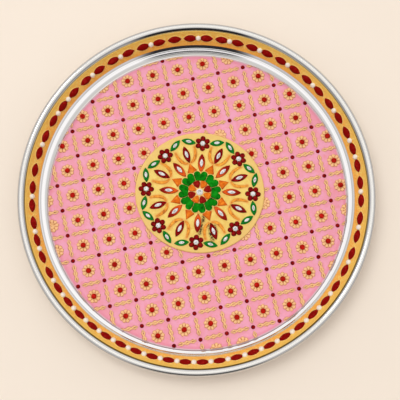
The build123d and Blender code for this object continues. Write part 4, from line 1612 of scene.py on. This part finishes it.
def rim_pearl(rim):
    """A half pearl: a round bead on a short sunk foot."""
    shares, heights = bead_profile(rim.pearl_height, 7)
    shares = np.concatenate([[1], shares])
    heights = np.concatenate([[rim_foot(rim)], heights])
    return dome(oval(rim.pearl_radius, rim.pearl_radius, 18), shares, heights)


class THALI_OT_rim_stones(bpy.types.Operator):
    """Sets the marquise stones in their collars and the half pearls between them."""

    bl_idname = "thali.rim_stones"
    bl_label = "Rim stones and pearls"

    def execute(self, context):
        scene = context.scene
        dish = scene.thali_dish
        rim = scene.thali_rim
        colours = scene.thali_colours
        shape = between_pearls(rim_stone(rim), dish, rim)
        finish = gloss_finish("maroon_stone", colours)
        make_piece("marquise_stones", shape, finish, ["rim_stones"])

        shape = between_pearls(rim_collar(rim), dish, rim)
        finish = metal_gold_finish("collar_gold", colours, 0.25)
        make_piece("gold_collars", shape, finish, ["rim_collars"])

        pearl = rim_pearl(rim)
        gaps = np.setdiff1d(np.arange(rim.stones), GAPS_WITHOUT_PEARL)
        points = np.repeat(pearl.points[None], len(gaps), axis=0)
        shape = spread(pearl, seated(points, rim_angles(rim, gaps + 0.5), dish, rim))
        make_piece("half_pearls", shape, pearl_finish(colours), ["rim_pearls"])
        return {"FINISHED"}


# Spots of a stroke's middle line from the middle of its cell, X outwards, in millimetres
STROKE_SPOTS = ((-7.6, 1.5), (-5.6, 5.3), (-1.2, 7.6), (4.0, 8.6))


def stroke_path(side, stations):
    """Middle line of a lotus stroke beside an outer cell: the cubic through four spots at even shares.

    It starts at the cell's inner tip, swings out and runs along the cell's side.
    """
    spots = np.array(STROKE_SPOTS) * MM
    share = np.linspace(0, 1, stations)[:, None]
    first = -4.5 * (share - 1 / 3) * (share - 2 / 3) * (share - 1)
    second = 13.5 * share * (share - 2 / 3) * (share - 1)
    third = -13.5 * share * (share - 1 / 3) * (share - 1)
    fourth = 4.5 * share * (share - 1 / 3) * (share - 2 / 3)
    path = first * spots[0] + second * spots[1] + third * spots[2] + fourth * spots[3]
    return np.stack([path[:, 0], side * path[:, 1], np.zeros(stations)], axis=-1)


# How far each maroon cell lies off its even place, as X and Y in millimetres
OUTER_DRIFT = (
    (-0.4, 0.7), (0.3, -0.1), (0.7, -0.3), (0.3, 0.6), (-1.1, 0.3), (-1.1, 0.1), (-0.3, -0.6), (0.3, 1),
)
PLAQUE_COLUMNS = 480
BRUSH_STATIONS = 20
BRUSH_REACH = 1.5 * MM
BRUSH_DEPTH = 0.85
# Both ends of each brown mark from the medallion's middle, its reach, in millimetres, and its strength;
# the first three run along the side of an orange red cell as its painted shadow, the others are smudges
SMUDGES_AND_SHADOWS = (
    ((3.2, -21.5), (2.8, -25.5), 1.5, 1.0),
    ((2.2, -26.5), (1.4, -30.0), 1.2, 1.0),
    ((1.0, -31.0), (0.2, -35.5), 1.6, 1.0),
    ((7.3, -28.5), (8.6, -33.5), 1.1, 0.95),
    ((9.0, -35.5), (10.9, -41.0), 1.6, 1.0),
    ((12.9, -29.0), (14.5, -34.0), 1.1, 0.9),
)
BORDER_WIDTH = 7.0 * MM
BORDER_FADE = 3.5 * MM
BORDER_DEPTH = 0.8


def plaque_profile(medallion):
    """Insets from the oval's edge and heights, from the underside round the edge to the face's middle."""
    bottom = medallion.top - medallion.thickness
    edge_round = medallion.edge_round
    quarter = np.linspace(0, np.pi / 2, 9)[1:]
    under = np.array([0.9, 0.3]) * medallion.radius_y
    face = np.linspace(edge_round, 0.985 * medallion.radius_y, 96)[1:]
    inset = np.concatenate([under, [0, 0], edge_round * (1 - np.cos(quarter)), face])
    rise = medallion.top - edge_round * (1 - np.sin(quarter))
    side = [bottom, bottom, bottom, medallion.top - edge_round]
    level = np.concatenate([side, rise, np.full(len(face), medallion.top)])
    return inset, level


def brushed_mark(medallion, east, north):
    """Soft orange beside the lotus strokes: exp(-d^2 / reach^2) of the distance to their middle lines."""
    places = ring_places(medallion, medallion.outer_ring_x, medallion.outer_ring_y, 0, True, OUTER_DRIFT)
    glow = np.zeros(east.shape)
    for side in (1, -1):
        for x, y, _ in laid(stroke_path(side, BRUSH_STATIONS), places).reshape(-1, 3):
            far = (east - x) ** 2 + (north - y) ** 2
            glow = np.maximum(glow, np.exp(-far / BRUSH_REACH**2))
    return BRUSH_DEPTH * glow


def smudge_and_shadow_mark(medallion, east, north):
    """Brown marks, partly smudges and partly painted shadow: strength times exp(-(d / reach)^2) of the
    distance to each mark's line.
    """
    smudge = np.zeros(east.shape)
    for first, last, reach, strength in SMUDGES_AND_SHADOWS:
        run = np.array(last) - np.array(first)
        away_x = (east - medallion.centre_x) / MM - first[0]
        away_y = (north - medallion.centre_y) / MM - first[1]
        share = np.clip((away_x * run[0] + away_y * run[1]) / (run @ run), 0, 1)
        far = np.hypot(away_x - share * run[0], away_y - share * run[1])
        smudge = np.maximum(smudge, strength * np.exp(-((far / reach) ** 2)))
    return smudge


class THALI_OT_plaque(bpy.types.Operator):
    """Makes the oval yellow plaque with its rounded edge and its brushed and smudged ground."""

    bl_idname = "thali.plaque"
    bl_label = "Medallion plaque"

    def execute(self, context):
        scene = context.scene
        medallion = scene.thali_medallion
        turn = full_turn(PLAQUE_COLUMNS)
        inset, level = plaque_profile(medallion)
        long_side = medallion.radius_x - inset * medallion.radius_x / medallion.radius_y
        short_side = medallion.radius_y - inset
        x = long_side[:, None] * np.cos(turn)
        y = short_side[:, None] * np.sin(turn)
        east, north = on_medallion(medallion, x, y)
        height = np.broadcast_to(level[:, None], east.shape)
        border = np.clip((BORDER_WIDTH - np.broadcast_to(inset[:, None], east.shape)) / BORDER_FADE, 0, 1)
        border[:2] = 1
        marks = {
            "glow": brushed_mark(medallion, east, north),
            "smudge": smudge_and_shadow_mark(medallion, east, north),
            "border": BORDER_DEPTH * border,
        }
        shape = capped(np.stack([east, north, height], axis=-1), marks)
        finish = plaque_finish(scene.thali_colours)
        make_piece("medallion_plaque", shape, finish, ["medallion_plate"])
        return {"FINISHED"}


LOBE_END = 78
LOBE_POINTS = 14
NOTCH_DEPTH = 0.3


def heart_outline(medallion):
    """Outline of a green cell: a wedge whose outer side swells into two round lobes with a notch."""
    half = math.pi / medallion.motifs
    lobe_sine = math.sin(half / 2)
    lobe = (medallion.heart_outer * lobe_sine - medallion.heart_gap / 2) / (1 + lobe_sine)
    ring = medallion.heart_outer - lobe
    centre = np.array([ring * math.cos(half / 2), ring * math.sin(half / 2)])
    inner_half = medallion.heart_inner * math.tan(half) - medallion.heart_gap / 2 / math.cos(half)
    side = -90 - math.degrees(half)
    low = arc((centre[0], -centre[1]), lobe, side, LOBE_END, LOBE_POINTS)
    notch = np.array([[centre[0] + NOTCH_DEPTH * lobe, 0.0]])
    high = low[::-1] * np.array([1, -1])
    foot = line((medallion.heart_inner, inner_half), (medallion.heart_inner, -inner_half), 5)
    rise = line(foot[-1], low[0], 4)[1:-1]
    fall = line(high[-1], foot[0], 4)[1:-1]
    return np.concatenate([foot, rise, low, notch, high, fall])


TRAY_POINTS = 192
SCALLOP_DEPTH = 1.1 * MM
SCALLOP_POWER = 0.6


def tray_outline(medallion):
    """Scalloped outline of the tray: radius less depth (1 - |cos(n t)|^p), with a scallop per lobe."""
    turn = full_turn(TRAY_POINTS)
    scallop = np.abs(np.cos(medallion.motifs * (turn - np.pi / 2 / medallion.motifs)))
    reach = medallion.heart_outer + medallion.tray_outline
    radius = reach - SCALLOP_DEPTH * (1 - scallop**SCALLOP_POWER)
    return np.stack([radius * np.cos(turn), radius * np.sin(turn)], axis=-1)


class THALI_OT_centre(bpy.types.Operator):
    """Makes the middle of the medallion: gold tray, green cells, red and orange petals, white stone."""

    bl_idname = "thali.centre"
    bl_label = "Medallion centre"

    def execute(self, context):
        scene = context.scene
        medallion = scene.thali_medallion
        colours = scene.thali_colours
        tray_top = medallion.top + medallion.tray_height
        middle = np.array([[medallion.centre_x, medallion.centre_y, medallion.top, medallion.turn]])
        rise = np.array([0, 0.7, 1, 1]) * medallion.tray_height
        tray = dome(tray_outline(medallion), [1, 1, 0.985, 0.5], rise)
        finish = metal_gold_finish("outline_gold", colours, 0.3)
        make_piece("gold_tray", copies(tray, middle), finish, ["centre_tray"])

        ring = 0.5 * (medallion.heart_inner + medallion.heart_outer)
        outline = heart_outline(medallion) - np.array([ring, 0])
        heart = dome(outline, *pillow_profile(medallion.heart_height, 0.22, 5))
        places = ring_places(medallion, ring, ring, tray_top, False)
        finish = gloss_finish("green_enamel", colours)
        make_piece("green_cells", copies(heart, places), finish, ["green_hearts"])

        outline = wedge(medallion.petal_length, medallion.petal_width, 24)
        petal = dome(outline, *pillow_profile(medallion.petal_height, 0.25, 5))
        places = ring_places(medallion, medallion.petal_ring, medallion.petal_ring, tray_top, True)
        red = gloss_finish("red_enamel", colours)
        orange = gloss_finish("orange_enamel", colours)
        make_piece("red_petals", copies(petal, places[0::2]), red, ["centre_petals_red"])
        shape = copies(petal, places[1::2])
        make_piece("orange_petals", shape, orange, ["centre_petals_orange"])

        outline = oval(medallion.stone_radius, medallion.stone_radius, 24)
        stone = dome(outline, *bead_profile(medallion.stone_height, 9))
        middle[0, 2] = tray_top
        finish = white_stone_finish(colours)
        make_piece("centre_gem", copies(stone, middle), finish, ["centre_stone"])
        return {"FINISHED"}


# How far each orange red cell lies off its even place, as X and Y in millimetres
INNER_DRIFT = (
    (-0.4, 1.2), (-0.8, 0.3), (0, -0.8), (1.1, 0), (1.2, 0.1), (-0.4, 0.9), (-0.1, -0.7), (-0.6, 1.1),
)
SHOULDER_SHARE = 0.09
STROKE_STATIONS = 18
STROKE_SIDES = 10
STROKE_RISE = 0.7
CELL_EDGE = 0.34
GEM_SEAT = 0.93


def point_outline(medallion, middle):
    """Kite outline of an orange point about its middle, with its shoulders just past the green ring."""
    shoulder = medallion.heart_outer + SHOULDER_SHARE * medallion.point_width - middle
    corners = np.array(
        [
            [medallion.point_start - middle, 0],
            [shoulder, -medallion.point_width / 2],
            [medallion.point_end - middle, 0],
            [shoulder, medallion.point_width / 2],
        ]
    )
    ends = np.roll(corners, -1, axis=0)
    return np.concatenate([line(start, end, 7)[:-1] for start, end in zip(corners, ends)])


def set_cell(medallion, part, points):
    """A marquise pillow, and a faceted marquise stone for its middle, with the sizes of a named part."""
    length, width, stone_length, stone_width = (
        getattr(medallion, f"{part}_{measure}")
        for measure in ("length", "width", "stone_length", "stone_width")
    )
    cell = dome(marquise(length, width, points), *pillow_profile(medallion.cell_height, CELL_EDGE, 5))
    level = GEM_SEAT * medallion.cell_height
    heights = level + np.array([0, 0.35, 0.85, 1]) * (medallion.stone_top - level)
    stone = dome(marquise(stone_length, stone_width, 12), [1, 1, 0.66, 0.45], heights)
    return cell, stone


class THALI_OT_cells(bpy.types.Operator):
    """Makes the orange points, the orange red and maroon cells with their stones, and the strokes."""

    bl_idname = "thali.cells"
    bl_label = "Points and cells"

    def execute(self, context):
        scene = context.scene
        medallion = scene.thali_medallion
        colours = scene.thali_colours
        gem = bpy.data.materials["white_cut_stone"]
        middle = 0.5 * (medallion.point_start + medallion.point_end)
        shares = np.array([[1, 1], [1, 1], [0.93, 0.6], [0.86, 0.12]])
        rise = np.array([0, 0.3, 0.8, 1]) * medallion.point_height
        point = dome(point_outline(medallion, middle), shares, rise)
        places = ring_places(medallion, middle, middle, medallion.top, True)
        finish = gloss_finish("orange_point", colours)
        make_piece("point_cells", copies(point, places), finish, ["orange_points"])

        cell, stone = set_cell(medallion, "inner", points=32)
        places = ring_places(
            medallion, medallion.inner_ring_x, medallion.inner_ring_y, medallion.top, False, INNER_DRIFT
        )
        finish = gradient_finish("orange_red_enamel", colours.red_dark, colours.flame, colours.red)
        make_piece("inner_cells", copies(cell, places), finish, ["inner_settings"])
        make_piece("inner_gems", copies(stone, places), gem, ["inner_stones"], False)

        cell, stone = set_cell(medallion, "outer", points=32)
        places = ring_places(
            medallion, medallion.outer_ring_x, medallion.outer_ring_y, medallion.top, True, OUTER_DRIFT
        )
        finish = gloss_finish("maroon_enamel", colours)
        make_piece("outer_cells", copies(cell, places), finish, ["outer_settings"])
        make_piece("outer_gems", copies(stone, places), gem, ["outer_stones"], False)

        fade = tapered(np.linspace(0, 1, STROKE_STATIONS), 0.6)
        half_width = 0.5 * medallion.stroke_width * fade
        rise = STROKE_RISE * medallion.stroke_height * fade
        strokes = []
        for side in (1, -1):
            stroke = swept(stroke_path(side, STROKE_STATIONS), half_width, rise, STROKE_SIDES)
            strokes.append(copies(stroke, places))
        finish = gloss_finish("orange_brush", colours)
        make_piece("lotus_brush", joined(*strokes), finish, ["lotus_strokes"])
        return {"FINISHED"}


# How far each flower lies off its even place, as X and Y in millimetres
FLOWER_DRIFT = (
    (-0.2, 0.7), (-0.7, 0.5), (0, 0), (0.8, -0.1), (-0.1, 0.4), (-0.9, -0.4), (-0.4, -0.6), (-0.2, 0.2),
)
PETAL_LONG = 1.1
PETAL_BROAD = 1.02


class THALI_OT_edge_flowers(bpy.types.Operator):
    """Makes the flowers round the edge of the medallion and the leaves with their white stones."""

    bl_idname = "thali.edge_flowers"
    bl_label = "Edge flowers and leaves"

    def execute(self, context):
        scene = context.scene
        medallion = scene.thali_medallion
        colours = scene.thali_colours
        gem = bpy.data.materials["white_cut_stone"]
        places = ring_places(
            medallion, medallion.flower_ring_x, medallion.flower_ring_y, medallion.top, False, FLOWER_DRIFT
        )
        outline = oval(PETAL_LONG * medallion.flower_petal, PETAL_BROAD * medallion.flower_petal, 16)
        petal = dome(outline, *bead_profile(medallion.flower_petal_height, 6))
        flower = copies(petal, petal_ring(medallion.flower_petals, medallion.flower_petal_ring))
        finish = gloss_finish("petal_enamel", colours)
        make_piece("edge_petals", copies(flower, places), finish, ["flower_petals"])
        outline = oval(medallion.flower_stone, medallion.flower_stone, 12)
        rise = np.array([0, 0.5, 0.9, 1]) * medallion.flower_stone_height
        stone = dome(outline, [1, 1, 0.75, 0.45], rise)
        make_piece("edge_gems", copies(stone, places), gem, ["flower_stones"], False)

        quarter = math.pi / 2 - medallion.leaf_tilt
        leaf_places = np.concatenate(
            [
                beside(places, medallion.leaf_lift, medallion.leaf_reach, quarter),
                beside(places, medallion.leaf_lift, -medallion.leaf_reach, -quarter),
            ]
        )
        leaf, stone = set_cell(medallion, "leaf", points=28)
        finish = gloss_finish("leaf_enamel", colours)
        make_piece("green_leaves", copies(leaf, leaf_places), finish, ["leaves"])
        make_piece("leaf_gems", copies(stone, leaf_places), gem, ["leaf_stones"], False)
        return {"FINISHED"}


class THALI_OT_glue(bpy.types.Operator):
    """Gives the hidden glue films their finish."""

    bl_idname = "thali.glue"
    bl_label = "Glue films"

    def execute(self, context):
        finish = glue_finish(context.scene.thali_colours)
        for name in ("lining_adhesive", "band_adhesive", "medallion_adhesive"):
            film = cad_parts[name]
            film.data.materials.clear()
            film.data.materials.append(finish)
        return {"FINISHED"}


OPERATORS = (
    THALI_OT_stage,
    THALI_OT_dish,
    THALI_OT_lining,
    THALI_OT_links,
    THALI_OT_crossings,
    THALI_OT_flowers,
    THALI_OT_band,
    THALI_OT_rim_stones,
    THALI_OT_plaque,
    THALI_OT_centre,
    THALI_OT_cells,
    THALI_OT_edge_flowers,
    THALI_OT_glue,
)


class THALI_PT_pieces(bpy.types.Panel):
    """Lists the pieces of the thali in the sidebar."""

    bl_idname = "THALI_PT_pieces"
    bl_label = "Puja thali"
    bl_space_type = "VIEW_3D"
    bl_region_type = "UI"
    bl_category = "Thali"

    def draw(self, context):
        for operator in OPERATORS:
            self.layout.operator(operator.bl_idname)


GROUPS = {
    "thali_dish": ThaliDish,
    "thali_lattice": ThaliLattice,
    "thali_rim": ThaliRim,
    "thali_medallion": ThaliMedallion,
    "thali_colours": ThaliColours,
}


def register():
    """Registers the property groups, the operators and the panel."""
    for name, group in GROUPS.items():
        bpy.utils.register_class(group)
        setattr(bpy.types.Scene, name, bpy.props.PointerProperty(type=group))
    for operator in OPERATORS:
        bpy.utils.register_class(operator)
    bpy.utils.register_class(THALI_PT_pieces)


def unregister():
    """Removes what register added, in reverse order."""
    bpy.utils.unregister_class(THALI_PT_pieces)
    for operator in reversed(OPERATORS):
        bpy.utils.unregister_class(operator)
    for name, group in reversed(GROUPS.items()):
        delattr(bpy.types.Scene, name)
        bpy.utils.unregister_class(group)


def main():
    """Builds the stage and every piece in order."""
    register()
    bpy.ops.thali.stage()
    bpy.ops.thali.dish()
    bpy.ops.thali.lining()
    bpy.ops.thali.links()
    bpy.ops.thali.crossings()
    bpy.ops.thali.flowers()
    bpy.ops.thali.band()
    bpy.ops.thali.rim_stones()
    bpy.ops.thali.plaque()
    bpy.ops.thali.centre()
    bpy.ops.thali.cells()
    bpy.ops.thali.edge_flowers()
    bpy.ops.thali.glue()
    bpy.context.view_layer.update()


if __name__ == "__main__":
    main()
